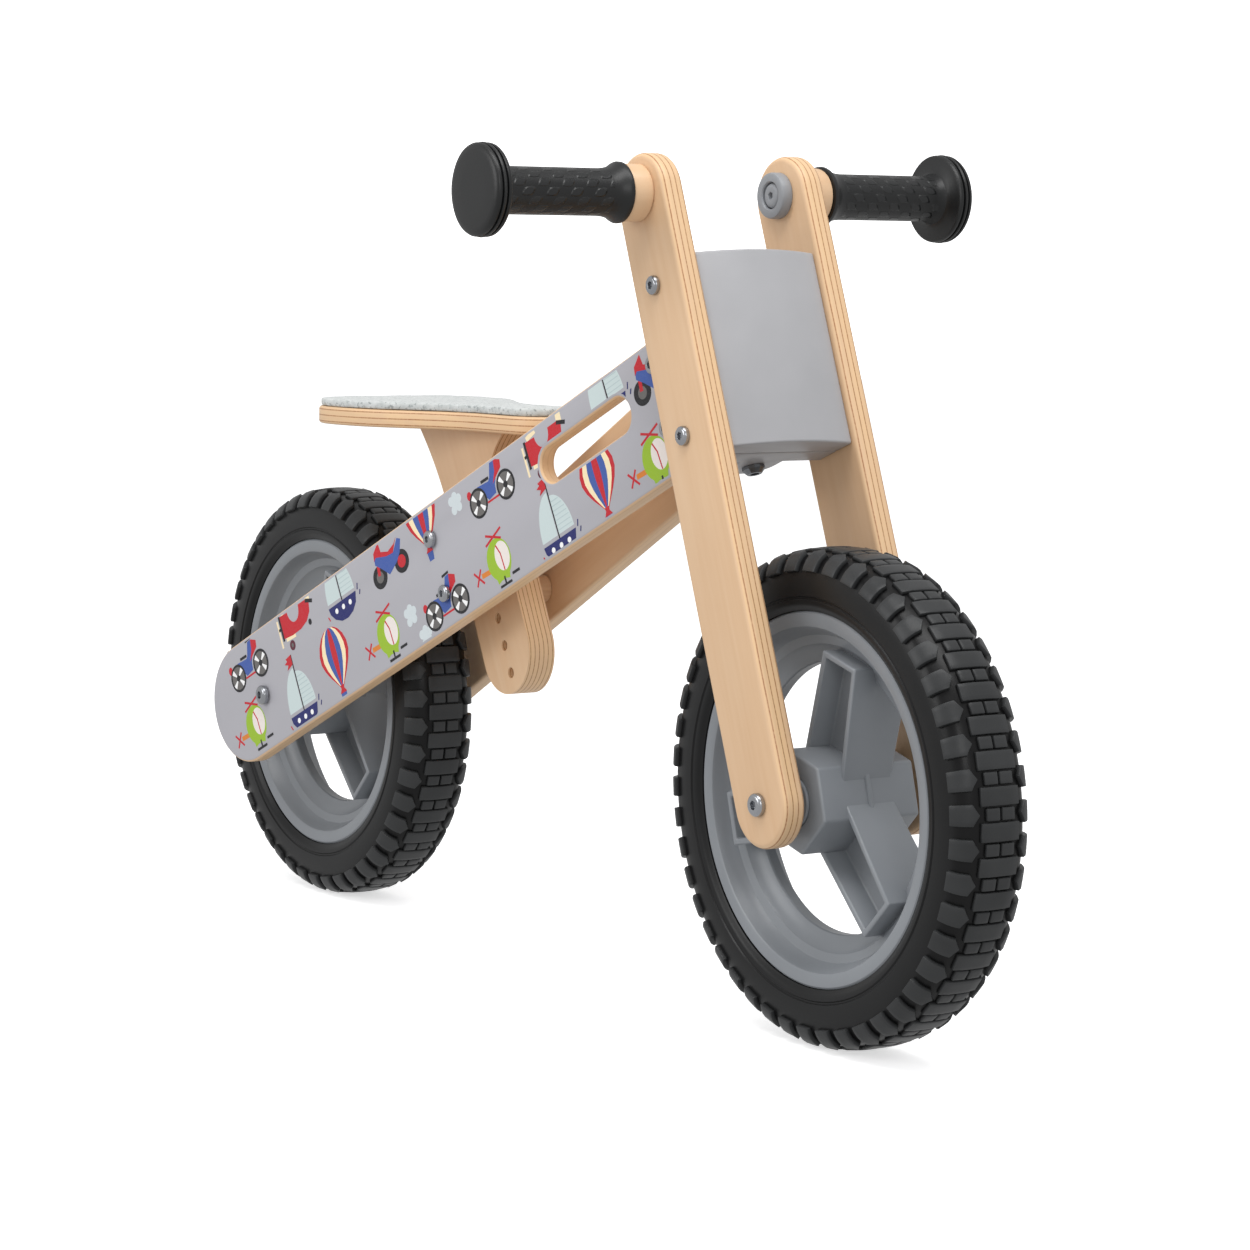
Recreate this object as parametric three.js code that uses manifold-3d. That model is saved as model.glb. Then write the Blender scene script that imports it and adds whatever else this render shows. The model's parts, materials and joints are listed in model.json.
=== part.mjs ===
// A child's wooden balance bike: splayed plywood frame panels, a raked plywood fork that steers between
// stops, foam-tyred wheels on plain axles, and a seat whose post moves in steps between the panels.
// Millimetres. +X is forward, +Y is the rider's left, +Z is up. The origin is on the ground, midway
// between the axles, on the centre plane.
import * as THREE from "three";
import { mergeVertices } from "three/addons/utils/BufferGeometryUtils.js";
import Module from "manifold-3d";

const wasm = await Module();
wasm.setup();

// ---------------------------------------------------------------- driving dimensions

const WHEEL_RADIUS = 145;
const WHEELBASE = 592;
const REAR_X = -WHEELBASE / 2;
const FRONT_X = WHEELBASE / 2;
const AXLE_Z = WHEEL_RADIUS;
const FIT_GAP = 0.3;
const ROUND_STEPS = 16;
const BOLT_STEPS = 12;

// Frame panels: a bar with a round rear end, rising forward, both splayed apart towards the rear.
const PANEL_SLOPE = THREE.MathUtils.degToRad(25.9);
const PANEL_SPLAY = THREE.MathUtils.degToRad(5.03);
const PANEL_THICKNESS = 12;
const PANEL_OUTER_Y = 63.8;
const PANEL_HALF_HEIGHT = 42;
const PANEL_CENTRE_LIFT = 4;
const PANEL_REAR_END = -28.4;
const PANEL_FRONT_BOTTOM = 509.6;
const PANEL_FRONT_TOP = 517.8;
const PANEL_CORNER = 12;
const SLOT_REAR = 377;
const SLOT_FRONT = 452;
const SLOT_LIFT = 16.7;
const SLOT_RADIUS = 11.5;

// Seat post and seat, in the panels' side-view frame where the post is square to the panels.
const POST_ALONG = 235.6;
const POST_THICKNESS = 20;
const POST_HALF_WIDTH = 29;
const POST_END = -86;
const POST_HOLE_PITCH = 19.2;
const POST_HOLE_RADIUS = 3.6;
const POST_HOLE_COUNT = 6;
const SEAT_BOTTOM_Z = 340;
const SEAT_BOARD_THICKNESS = 12;
const SEAT_PAD_THICKNESS = 5;
const SEAT_REAR = 44;
const SEAT_FRONT = 288;
const SEAT_REAR_HALF_WIDTH = 62;
const SEAT_NOSE_HALF_WIDTH = 24;
const SEAT_WIDEST = 50;
const SEAT_SLIM = 190;

// Fork, in its own frame: x forward and square to the legs, z up the legs from the axle.
const FORK_RAKE = THREE.MathUtils.degToRad(20.4);
const LEG_INNER_Y = 43.5;
const LEG_THICKNESS = 15;
const LEG_OUTER_Y = LEG_INNER_Y + LEG_THICKNESS;
const LEG_HALF_WIDTH = 25.5;
const LEG_TOP = 394;
const HEAD_BOTTOM = 206.5;
const HEAD_TOP = 326;
const HEAD_PLATE_THICKNESS = 26;
const HEAD_HALF_WIDTH = LEG_INNER_Y - FIT_GAP;
const HEAD_REAR = -12.5;
const HEAD_SPLIT = 6.3;
const HEAD_FRONT = 21.5;
const HEAD_BULGE = 6.5;
const STEER_X = -21;
const STEER_TONGUE_RADIUS = 16;
const LEG_BOLT_X = -2;
const LEG_BOLT_HEIGHTS = { upper: 313.5, lower: 220.7 };
const BAR_HEIGHT = 370.5;

// Neck block between the panels, in the fork's frame at rest.
const NECK_WASHER = 1.5;
const NECK_HALF_WIDTH = 9.7;
const NECK_REAR = -88;
const NECK_TONGUE = 24;
const NECK_BOLT_X = -64;
const NECK_BOLT_HEIGHTS = { upper: 285, lower: 245 };

// Handlebar stubs and grips, measured outward from the centre plane.
const STUB_SHOULDER_RADIUS = 17;
const STUB_SHOULDER_END = 72;
const STUB_ROD_RADIUS = 10.5;
const STUB_ROD_END = 166;
const GRIP_FLANGE_RADIUS = 18.2;
const GRIP_FLANGE_THICKNESS = 3.5;
const GRIP_RADIUS = 14;
const GRIP_DISC_START = 161.5;
const GRIP_DISC_RADIUS = 27.4;
const GRIP_END = 172.8;

// Wheels.
const RIM_HALF_WIDTH = 21.9;
const RIM_RADIUS = 108.6;
const RIM_SEAT_RADIUS = 105;
const RIM_INNER_RADIUS = 100;
const RIM_STEP_RADIUS = 90;
const RIM_HOLE_RADIUS = 79;
const RIM_WEB_HALF = 4;
const TYRE_HALF_WIDTH = 25;
const HUB_HALF_LENGTH = 34;
const HUB_RADIUS = 31;
const HUB_TURN = 45;
const HUB_BORE = 11;
const SPOKE_ANGLES = [75, 195, 315];
const SPOKE_HUB_SIZE = { depth: 17, width: 20 };
const SPOKE_RIM_SIZE = { depth: 20, width: 16 };
const SPOKE_WALL = 3.5;
const SPOKE_RIB = 5;
const WHEEL_STEPS = 48;

// Fasteners.
const AXLE_RADIUS = 4;
const BOLT_RADIUS = 3;
const HEAD_RADIUS = 5.8;
const HEAD_HEIGHT = 3.4;
const AXLE_HEAD_RADIUS = 6.8;
const NUT_DEPTH = 3.6;
const HOLE_CLEARANCE = 0.35;
const REAR_SPACER_SLANT = 0.9;

// ---------------------------------------------------------------- materials

const paint = (color, roughness, metalness = 0) =>
  new THREE.MeshStandardMaterial({ color, roughness, metalness });
const birch = () => paint(0xdcb98f, 0.55);
const greyPaint = () => paint(0xaaa9ae, 0.5);
const steel = () => paint(0xb9bcc0, 0.3, 1);
const rubber = () => paint(0x2b2c2e, 0.85);
const foam = () => paint(0x303234, 0.9);
const plastic = () => paint(0x85888c, 0.5);
const felt = () => paint(0xc9cbca, 0.95);

// ---------------------------------------------------------------- solids

// A three.js geometry as a closed manifold-3d solid whose faces point out.
function toSolid(geometry) {
  const bare = geometry.clone();
  bare.deleteAttribute("normal");
  bare.deleteAttribute("uv");
  const merged = mergeVertices(bare, 1e-4);
  const build = (triVerts) =>
    new wasm.Manifold(
      new wasm.Mesh({
        numProp: 3,
        vertProperties: merged.attributes.position.array,
        triVerts,
      }),
    );
  const solid = build(new Uint32Array(merged.index.array));
  if (solid.volume() > 0) return solid;
  return build(new Uint32Array(merged.index.array).reverse());
}

function toGeometry(solid) {
  const { vertProperties, triVerts } = solid.getMesh();
  const geometry = new THREE.BufferGeometry();
  geometry.setAttribute("position", new THREE.BufferAttribute(vertProperties, 3));
  geometry.setIndex(new THREE.BufferAttribute(triVerts, 1));
  geometry.computeVertexNormals();
  return geometry;
}

const join = (...solids) => solids.reduce((a, b) => a.add(b));
const cut = (solid, ...cutters) => cutters.reduce((a, b) => a.subtract(b), solid);

function piece(name, solid, material) {
  const mesh = new THREE.Mesh(toGeometry(solid), material);
  mesh.name = name;
  return mesh;
}

// A box from its lowest to its highest corner.
function boxSolid(low, high) {
  const size = high.map((value, i) => value - low[i]);
  const centre = high.map((value, i) => (value + low[i]) / 2);
  return toSolid(new THREE.BoxGeometry(...size).translate(...centre));
}

// A round bar along Y at (x, z).
function rodY(radius, y0, y1, x = 0, z = 0, steps = ROUND_STEPS) {
  const bar = new THREE.CylinderGeometry(radius, radius, y1 - y0, steps);
  return toSolid(bar.translate(x, (y0 + y1) / 2, z));
}

// A round bar along Z at (x, y).
function rodZ(radius, z0, z1, x = 0, y = 0, steps = ROUND_STEPS) {
  const bar = new THREE.CylinderGeometry(radius, radius, z1 - z0, steps);
  return toSolid(bar.rotateX(Math.PI / 2).translate(x, y, (z0 + z1) / 2));
}

// A solid turned about Y from [radius, y] points that start and end on the axis.
function turned(profile, steps = ROUND_STEPS) {
  const points = profile.map(([radius, y]) => new THREE.Vector2(radius, y));
  return toSolid(new THREE.LatheGeometry(points, steps));
}

// An outline in the x-z plane, extruded along Y from y0 to y1.
function slabY(shape, y0, y1, curveSegments = 8) {
  const options = { depth: y1 - y0, bevelEnabled: false, curveSegments };
  const flat = new THREE.ExtrudeGeometry(shape, options).rotateX(Math.PI / 2);
  return toSolid(flat.translate(0, y1, 0));
}

// An outline in the x-y plane, extruded along Z from z0 to z1.
function slabZ(shape, z0, z1, curveSegments = 8) {
  const options = { depth: z1 - z0, bevelEnabled: false, curveSegments };
  return toSolid(new THREE.ExtrudeGeometry(shape, options).translate(0, 0, z0));
}

function placed(solid, matrix) {
  return toSolid(toGeometry(solid).applyMatrix4(matrix));
}

// Mirrored across the centre plane for the right side (-1), as built for the left side (+1).
function sided(solid, side) {
  return side > 0 ? solid : placed(solid, new THREE.Matrix4().makeScale(1, -1, 1));
}

const SIDES = [
  ["right", -1],
  ["left", 1],
];

// ---------------------------------------------------------------- fasteners (built along +Y, tip first)

// A round-headed bolt with a key recess, from its tip to the seat of its head.
function headedBolt(radius, tip, seat, headRadius = HEAD_RADIUS, headHeight = HEAD_HEIGHT) {
  const top = seat + headHeight;
  const recess = headRadius * 0.4;
  const profile = [
    [0, tip],
    [radius, tip],
    [radius, seat],
    [headRadius, seat],
    [headRadius, seat + headHeight * 0.4],
    [headRadius * 0.65, top],
    [recess, top],
    [recess, top - headHeight * 0.6],
    [0, top - headHeight * 0.6],
  ];
  return turned(profile, BOLT_STEPS);
}

// A domed nut with a hollow thread that covers the end of a bolt.
function capNut(bore, depth, seat, headRadius = HEAD_RADIUS, headHeight = 6) {
  const profile = [
    [bore, seat],
    [headRadius, seat],
    [headRadius, seat + headHeight * 0.4],
    [headRadius * 0.8, seat + headHeight * 0.8],
    [0, seat + headHeight],
    [0, seat + depth],
    [bore, seat + depth],
    [bore, seat],
  ];
  return turned(profile, BOLT_STEPS);
}

function sleeve(radius, bore, y0, y1, x = 0, z = 0) {
  return cut(rodY(radius, y0, y1, x, z), rodY(bore, y0 - 1, y1 + 1, x, z, BOLT_STEPS));
}

// ---------------------------------------------------------------- frame

// The frames that the pieces are built in: the panels' side view, and the fork.
const sideFrame = new THREE.Matrix4()
  .makeRotationY(-PANEL_SLOPE)
  .setPosition(REAR_X, 0, AXLE_Z);
const forkFrame = new THREE.Matrix4()
  .makeRotationY(-FORK_RAKE)
  .setPosition(FRONT_X, 0, AXLE_Z);
const sidePoint = (along, lift) => new THREE.Vector3(along, 0, lift).applyMatrix4(sideFrame);
const forkPoint = (x, z) => new THREE.Vector3(x, 0, z).applyMatrix4(forkFrame);

// Distance of a panel's outer face from the centre plane at a place along the bike.
const panelOuterY = (x) => PANEL_OUTER_Y - (x - REAR_X) * Math.tan(PANEL_SPLAY);
const PANEL_DEPTH_Y = PANEL_THICKNESS / Math.cos(PANEL_SPLAY);

function panelMatrix(side) {
  const turn = new THREE.Euler(0, -PANEL_SLOPE, -side * PANEL_SPLAY, "ZYX");
  return new THREE.Matrix4()
    .makeRotationFromEuler(turn)
    .setPosition(REAR_X, side * PANEL_OUTER_Y, AXLE_Z);
}

function panelOutline() {
  const low = PANEL_CENTRE_LIFT - PANEL_HALF_HEIGHT;
  const high = PANEL_CENTRE_LIFT + PANEL_HALF_HEIGHT;
  const quarter = Math.PI / 2;
  const shape = new THREE.Shape();
  shape.moveTo(PANEL_REAR_END, low);
  shape.lineTo(PANEL_FRONT_BOTTOM - PANEL_CORNER, low);
  shape.quadraticCurveTo(PANEL_FRONT_BOTTOM, low, PANEL_FRONT_BOTTOM + 1, low + PANEL_CORNER);
  shape.lineTo(PANEL_FRONT_TOP - 1, high - PANEL_CORNER);
  shape.quadraticCurveTo(PANEL_FRONT_TOP, high, PANEL_FRONT_TOP - PANEL_CORNER, high);
  shape.lineTo(PANEL_REAR_END, high);
  shape.absarc(PANEL_REAR_END, PANEL_CENTRE_LIFT, PANEL_HALF_HEIGHT, quarter, 3 * quarter, false);
  const slot = new THREE.Path();
  slot.moveTo(SLOT_REAR, SLOT_LIFT - SLOT_RADIUS);
  slot.lineTo(SLOT_FRONT, SLOT_LIFT - SLOT_RADIUS);
  slot.absarc(SLOT_FRONT, SLOT_LIFT, SLOT_RADIUS, -quarter, quarter, false);
  slot.lineTo(SLOT_REAR, SLOT_LIFT + SLOT_RADIUS);
  slot.absarc(SLOT_REAR, SLOT_LIFT, SLOT_RADIUS, quarter, 3 * quarter, false);
  shape.holes.push(slot);
  return shape;
}

// The points where bolts cross both panels: the axle, the two seat bolts and the two neck bolts.
const seatBoltLift = {
  upper: PANEL_CENTRE_LIFT + POST_HOLE_PITCH,
  lower: PANEL_CENTRE_LIFT - POST_HOLE_PITCH,
};
const seatBoltPoint = (level) => sidePoint(POST_ALONG, seatBoltLift[level]);
const neckBoltPoint = (level) => forkPoint(NECK_BOLT_X, NECK_BOLT_HEIGHTS[level]);

function framePanel(side) {
  const matrix = panelMatrix(side);
  const slab = sided(slabY(panelOutline(), -PANEL_THICKNESS, 0), side);
  const world = placed(slab, matrix);
  const hole = (point, radius) =>
    rodY(radius + HOLE_CLEARANCE, -PANEL_OUTER_Y - 20, PANEL_OUTER_Y + 20, point.x, point.z);
  return cut(
    world,
    hole(new THREE.Vector3(REAR_X, 0, AXLE_Z), AXLE_RADIUS),
    hole(seatBoltPoint("upper"), BOLT_RADIUS),
    hole(seatBoltPoint("lower"), BOLT_RADIUS),
    hole(neckBoltPoint("upper"), BOLT_RADIUS),
    hole(neckBoltPoint("lower"), BOLT_RADIUS),
  );
}

// The neck block: a wedge that fills the front of the V, with a round-nosed tongue on the steering bolt.
function neckBlock() {
  const low = HEAD_BOTTOM + HEAD_PLATE_THICKNESS + NECK_WASHER + FIT_GAP;
  const high = HEAD_TOP - HEAD_PLATE_THICKNESS - NECK_WASHER - FIT_GAP;
  const side = new THREE.Shape();
  side.moveTo(STEER_X + NECK_HALF_WIDTH, low);
  side.lineTo(STEER_X + NECK_HALF_WIDTH, high);
  side.lineTo(NECK_REAR, high);
  side.lineTo(NECK_REAR, low);
  const wide = 30;
  const shoulder = STEER_X - NECK_TONGUE;
  const block = slabY(side, -wide, wide);
  const nose = new THREE.Shape();
  nose.moveTo(NECK_REAR - 1, -wide);
  nose.lineTo(shoulder, -wide);
  nose.lineTo(shoulder, -NECK_HALF_WIDTH);
  nose.lineTo(STEER_X, -NECK_HALF_WIDTH);
  nose.absarc(STEER_X, 0, NECK_HALF_WIDTH, -Math.PI / 2, Math.PI / 2, false);
  nose.lineTo(shoulder, NECK_HALF_WIDTH);
  nose.lineTo(shoulder, wide);
  nose.lineTo(NECK_REAR - 1, wide);
  const rounded = block.intersect(slabZ(nose, low - 40, high + 40));
  const bored = cut(rounded, rodZ(AXLE_RADIUS + HOLE_CLEARANCE, low - 20, high + 20, STEER_X, 0));
  const world = placed(bored, forkFrame);
  const innerY = (x) => panelOuterY(x) - PANEL_DEPTH_Y - FIT_GAP;
  const rear = REAR_X + 340;
  const front = FRONT_X - 60;
  const wedge = new THREE.Shape();
  wedge.moveTo(rear, -innerY(rear));
  wedge.lineTo(front, -innerY(front));
  wedge.lineTo(front, innerY(front));
  wedge.lineTo(rear, innerY(rear));
  const clamped = world.intersect(slabZ(wedge, 200, 500));
  const hole = (point) => rodY(BOLT_RADIUS + HOLE_CLEARANCE, -40, 40, point.x, point.z);
  return cut(clamped, hole(neckBoltPoint("upper")), hole(neckBoltPoint("lower")));
}

// A bolt across both panels with its head on the right and a domed nut on the left.
function crossBolt(radius, point, headRadius, headHeight) {
  const slant = headRadius * Math.tan(PANEL_SPLAY);
  const seat = panelOuterY(point.x) + slant + FIT_GAP;
  const tip = -(seat + 3);
  const bolt = headedBolt(radius, tip, seat, headRadius, headHeight);
  const move = new THREE.Matrix4().makeTranslation(point.x, 0, point.z);
  return placed(sided(bolt, -1), move);
}

function crossNut(radius, point, headRadius, headHeight) {
  const slant = headRadius * Math.tan(PANEL_SPLAY);
  const seat = panelOuterY(point.x) + slant + FIT_GAP;
  const nut = capNut(radius + FIT_GAP, NUT_DEPTH, seat, headRadius, headHeight);
  return placed(nut, new THREE.Matrix4().makeTranslation(point.x, 0, point.z));
}

// A seat bolt is a screw from the right and a sleeve nut from the left. Each stops at the post's face.
function seatFastener(side, level) {
  const point = seatBoltPoint(level);
  const slant = HEAD_RADIUS * Math.tan(PANEL_SPLAY);
  const seat = panelOuterY(point.x) + slant + FIT_GAP;
  const tip = POST_THICKNESS / 2 + FIT_GAP;
  const bolt = headedBolt(BOLT_RADIUS, tip, seat);
  return placed(sided(bolt, side), new THREE.Matrix4().makeTranslation(point.x, 0, point.z));
}

function seatSpacer(side, level) {
  const point = seatBoltPoint(level);
  const radius = 9;
  const slant = radius * Math.tan(PANEL_SPLAY);
  const inner = panelOuterY(point.x) - PANEL_DEPTH_Y - slant - FIT_GAP;
  const ring = sleeve(radius, BOLT_RADIUS + HOLE_CLEARANCE, POST_THICKNESS / 2 + FIT_GAP, inner);
  return placed(sided(ring, side), new THREE.Matrix4().makeTranslation(point.x, 0, point.z));
}

// ---------------------------------------------------------------- seat

function seatPost() {
  const rear = POST_ALONG - POST_HALF_WIDTH;
  const front = POST_ALONG + POST_HALF_WIDTH;
  const end = POST_END + POST_HALF_WIDTH;
  const topLift = (along) =>
    (SEAT_BOTTOM_Z - FIT_GAP - AXLE_Z - along * Math.sin(PANEL_SLOPE)) / Math.cos(PANEL_SLOPE);
  const shape = new THREE.Shape();
  shape.moveTo(rear, end);
  shape.absarc(POST_ALONG, end, POST_HALF_WIDTH, Math.PI, 2 * Math.PI, false);
  shape.lineTo(front, 50);
  shape.quadraticCurveTo(front + 2, 66, front + 29, topLift(front + 29));
  shape.lineTo(rear - 12, topLift(rear - 12));
  shape.quadraticCurveTo(rear, 84, rear, 50);
  const half = POST_THICKNESS / 2;
  const holes = Array.from({ length: POST_HOLE_COUNT }, (_, i) =>
    rodY(POST_HOLE_RADIUS, -half - 1, half + 1, POST_ALONG, seatBoltLift.upper - i * POST_HOLE_PITCH),
  );
  return placed(cut(slabY(shape, -half, half), ...holes), sideFrame);
}

// The seat's plan: round and wide at the back, drawn in by concave sides to a narrow nose.
function seatOutline(inset) {
  const rear = REAR_X + SEAT_REAR + inset;
  const front = REAR_X + SEAT_FRONT - inset;
  const wide = SEAT_REAR_HALF_WIDTH - inset;
  const nose = SEAT_NOSE_HALF_WIDTH - inset;
  const shape = new THREE.Shape();
  const widest = rear + SEAT_WIDEST;
  const slim = rear + SEAT_SLIM;
  const bend = (slim - widest) / 2;
  shape.moveTo(rear, 0);
  shape.bezierCurveTo(rear, -wide * 0.75, rear + 14, -wide, widest, -wide);
  shape.bezierCurveTo(widest + bend, -wide, slim - bend, -nose, slim, -nose);
  shape.lineTo(front - nose, -nose);
  shape.absarc(front - nose, 0, nose, -Math.PI / 2, Math.PI / 2, false);
  shape.lineTo(slim, nose);
  shape.bezierCurveTo(slim - bend, nose, widest + bend, wide, widest, wide);
  shape.bezierCurveTo(rear + 14, wide, rear, wide * 0.75, rear, 0);
  return shape;
}

const seatScrewX = { rear: REAR_X + 145, front: REAR_X + 215 };

function seatBoard() {
  const top = SEAT_BOTTOM_Z + SEAT_BOARD_THICKNESS;
  const board = slabZ(seatOutline(0), SEAT_BOTTOM_Z, top);
  const sinks = Object.values(seatScrewX).map((x) =>
    join(rodZ(2.6, SEAT_BOTTOM_Z - 1, top + 1, x), rodZ(5.4, top - 3.6, top + 1, x)),
  );
  return cut(board, ...sinks);
}

function seatPad() {
  const bottom = SEAT_BOTTOM_Z + SEAT_BOARD_THICKNESS + FIT_GAP;
  return slabZ(seatOutline(1), bottom, bottom + SEAT_PAD_THICKNESS);
}

// A wood screw through the board; its point stops at the top of the post.
function seatScrew(x) {
  const top = SEAT_BOTTOM_Z + SEAT_BOARD_THICKNESS - 0.5;
  const shank = rodZ(2.2, SEAT_BOTTOM_Z - 0.1, top - 1, x);
  return join(shank, rodZ(5, top - 2.6, top, x));
}

// ---------------------------------------------------------------- fork, in its own frame

function forkLeg(side) {
  const half = LEG_HALF_WIDTH;
  const shape = new THREE.Shape();
  shape.moveTo(-half, 0);
  shape.absarc(0, 0, half, Math.PI, 2 * Math.PI, false);
  shape.lineTo(half, LEG_TOP - half);
  shape.absarc(0, LEG_TOP - half, half, 0, Math.PI, false);
  const leg = sided(slabY(shape, LEG_INNER_Y, LEG_OUTER_Y), side);
  const hole = (radius, x, z) => rodY(radius + HOLE_CLEARANCE, -80, 80, x, z);
  return cut(
    leg,
    hole(AXLE_RADIUS, 0, 0),
    hole(BOLT_RADIUS, LEG_BOLT_X, LEG_BOLT_HEIGHTS.upper),
    hole(BOLT_RADIUS, LEG_BOLT_X, LEG_BOLT_HEIGHTS.lower),
    hole(BOLT_RADIUS, 0, BAR_HEIGHT),
  );
}

function headFrontBoard() {
  const half = HEAD_HALF_WIDTH;
  const shape = new THREE.Shape();
  shape.moveTo(HEAD_SPLIT, -half);
  shape.lineTo(HEAD_FRONT, -half);
  shape.quadraticCurveTo(HEAD_FRONT + 2 * HEAD_BULGE, 0, HEAD_FRONT, half);
  shape.lineTo(HEAD_SPLIT, half);
  return slabZ(shape, HEAD_BOTTOM, HEAD_TOP);
}

// A cross plate of the head: a bar between the legs with a round tongue around the steering bolt.
function headPlate(bottom, boltHeight) {
  const half = HEAD_HALF_WIDTH;
  const radius = STEER_TONGUE_RADIUS;
  const front = HEAD_SPLIT - FIT_GAP;
  const shape = new THREE.Shape();
  shape.moveTo(front, -half);
  shape.lineTo(front, half);
  shape.lineTo(HEAD_REAR, half);
  shape.lineTo(HEAD_REAR, radius);
  shape.lineTo(STEER_X, radius);
  shape.absarc(STEER_X, 0, radius, Math.PI / 2, (3 * Math.PI) / 2, false);
  shape.lineTo(HEAD_REAR, -radius);
  shape.lineTo(HEAD_REAR, -half);
  const plate = slabZ(shape, bottom, bottom + HEAD_PLATE_THICKNESS);
  const threads = SIDES.map(([, side]) =>
    sided(rodY(BOLT_RADIUS + HOLE_CLEARANCE, half - 24, half + 1, LEG_BOLT_X, boltHeight), side),
  );
  const bore = rodZ(AXLE_RADIUS + HOLE_CLEARANCE, bottom - 1, bottom + HEAD_PLATE_THICKNESS + 1, STEER_X);
  return cut(plate, bore, ...threads);
}

// Turned so that a piece built along +Y points down the legs, on the steering axis.
const steerDown = new THREE.Matrix4().makeRotationX(-Math.PI / 2).setPosition(STEER_X, 0, 0);
const steerUp = new THREE.Matrix4().makeRotationX(Math.PI / 2).setPosition(STEER_X, 0, 0);

// The steering bolt comes up from below; its domed nut sits on the top plate.
const steeringBolt = () =>
  placed(headedBolt(AXLE_RADIUS, -(HEAD_TOP + 4), -(HEAD_BOTTOM - FIT_GAP), 7, 4.5), steerDown);
const steeringNut = () => placed(capNut(AXLE_RADIUS + FIT_GAP, 5, HEAD_TOP + FIT_GAP, 7, 8.5), steerUp);

function steeringWasher(bottom) {
  const washer = sleeve(12, AXLE_RADIUS + HOLE_CLEARANCE, bottom, bottom + NECK_WASHER - 0.2);
  return placed(washer, steerUp);
}

function legBolt(side, level) {
  const bolt = headedBolt(BOLT_RADIUS, HEAD_HALF_WIDTH - 22, LEG_OUTER_Y + FIT_GAP);
  const move = new THREE.Matrix4().makeTranslation(LEG_BOLT_X, 0, LEG_BOLT_HEIGHTS[level]);
  return placed(sided(bolt, side), move);
}

// ---------------------------------------------------------------- handlebar

function handlebarStub(side) {
  const start = LEG_OUTER_Y + FIT_GAP;
  const stub = turned([
    [0, start],
    [STUB_SHOULDER_RADIUS, start],
    [STUB_SHOULDER_RADIUS, STUB_SHOULDER_END],
    [STUB_ROD_RADIUS, STUB_SHOULDER_END],
    [STUB_ROD_RADIUS, STUB_ROD_END],
    [0, STUB_ROD_END],
  ]);
  const thread = rodY(BOLT_RADIUS + HOLE_CLEARANCE, start - 1, start + 42);
  return placed(sided(cut(stub, thread), side), barMatrix);
}

const barMatrix = new THREE.Matrix4().makeTranslation(0, 0, BAR_HEIGHT);

function grip(side) {
  const start = STUB_SHOULDER_END + FIT_GAP;
  const bore = STUB_ROD_RADIUS + FIT_GAP;
  const body = turned([
    [bore, start],
    [GRIP_FLANGE_RADIUS, start],
    [GRIP_FLANGE_RADIUS, start + GRIP_FLANGE_THICKNESS],
    [GRIP_RADIUS, start + GRIP_FLANGE_THICKNESS + 1.5],
    [GRIP_RADIUS, GRIP_DISC_START],
    [GRIP_DISC_RADIUS - 1.5, GRIP_DISC_START],
    [GRIP_DISC_RADIUS, GRIP_DISC_START + 2],
    [GRIP_DISC_RADIUS, GRIP_END - 2.5],
    [GRIP_DISC_RADIUS - 2.5, GRIP_END],
    [0, GRIP_END],
    [0, STUB_ROD_END + FIT_GAP],
    [bore, STUB_ROD_END + FIT_GAP],
    [bore, start],
  ]);
  return placed(sided(body, side), barMatrix);
}

// The cup under the handlebar bolt's head, on the leg's inner face, open towards the centre plane.
const CAP_DEPTH = 7;
const CAP_RADIUS = 14;
const CAP_RECESS_RADIUS = 8.5;
const CAP_FLOOR = 2.5;

function handlebarCap(side) {
  const face = LEG_INNER_Y - FIT_GAP;
  const cup = turned([
    [BOLT_RADIUS + HOLE_CLEARANCE, face],
    [CAP_RADIUS, face],
    [CAP_RADIUS, face - CAP_DEPTH + 2.5],
    [CAP_RADIUS - 2.5, face - CAP_DEPTH],
    [CAP_RECESS_RADIUS, face - CAP_DEPTH],
    [CAP_RECESS_RADIUS, face - CAP_FLOOR],
    [BOLT_RADIUS + HOLE_CLEARANCE, face - CAP_FLOOR],
    [BOLT_RADIUS + HOLE_CLEARANCE, face],
  ]);
  return placed(sided(cup, side), barMatrix);
}

function handlebarBolt(side) {
  const seat = -(LEG_INNER_Y - FIT_GAP - CAP_FLOOR - FIT_GAP);
  const bolt = headedBolt(BOLT_RADIUS, -(LEG_OUTER_Y + 38), seat);
  return placed(sided(bolt, -side), barMatrix);
}

// ---------------------------------------------------------------- wheels, about the Y axis

function tyre() {
  const half = TYRE_HALF_WIDTH;
  const lip = RIM_RADIUS + FIT_GAP;
  const side = [
    [lip, half - 2.4],
    [WHEEL_RADIUS - 22, half],
    [WHEEL_RADIUS - 8, half - 0.8],
    [WHEEL_RADIUS - 2.2, half - 5],
    [WHEEL_RADIUS, half - 12],
  ];
  const seat = RIM_SEAT_RADIUS + FIT_GAP;
  const mirrored = side.map(([radius, y]) => [radius, -y]).reverse();
  return turned(
    [
      [seat, RIM_HALF_WIDTH - 4],
      [lip, RIM_HALF_WIDTH - 2.6],
      ...side,
      ...mirrored,
      [lip, 2.6 - RIM_HALF_WIDTH],
      [seat, 4 - RIM_HALF_WIDTH],
      [seat, RIM_HALF_WIDTH - 4],
    ],
    WHEEL_STEPS,
  );
}

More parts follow.
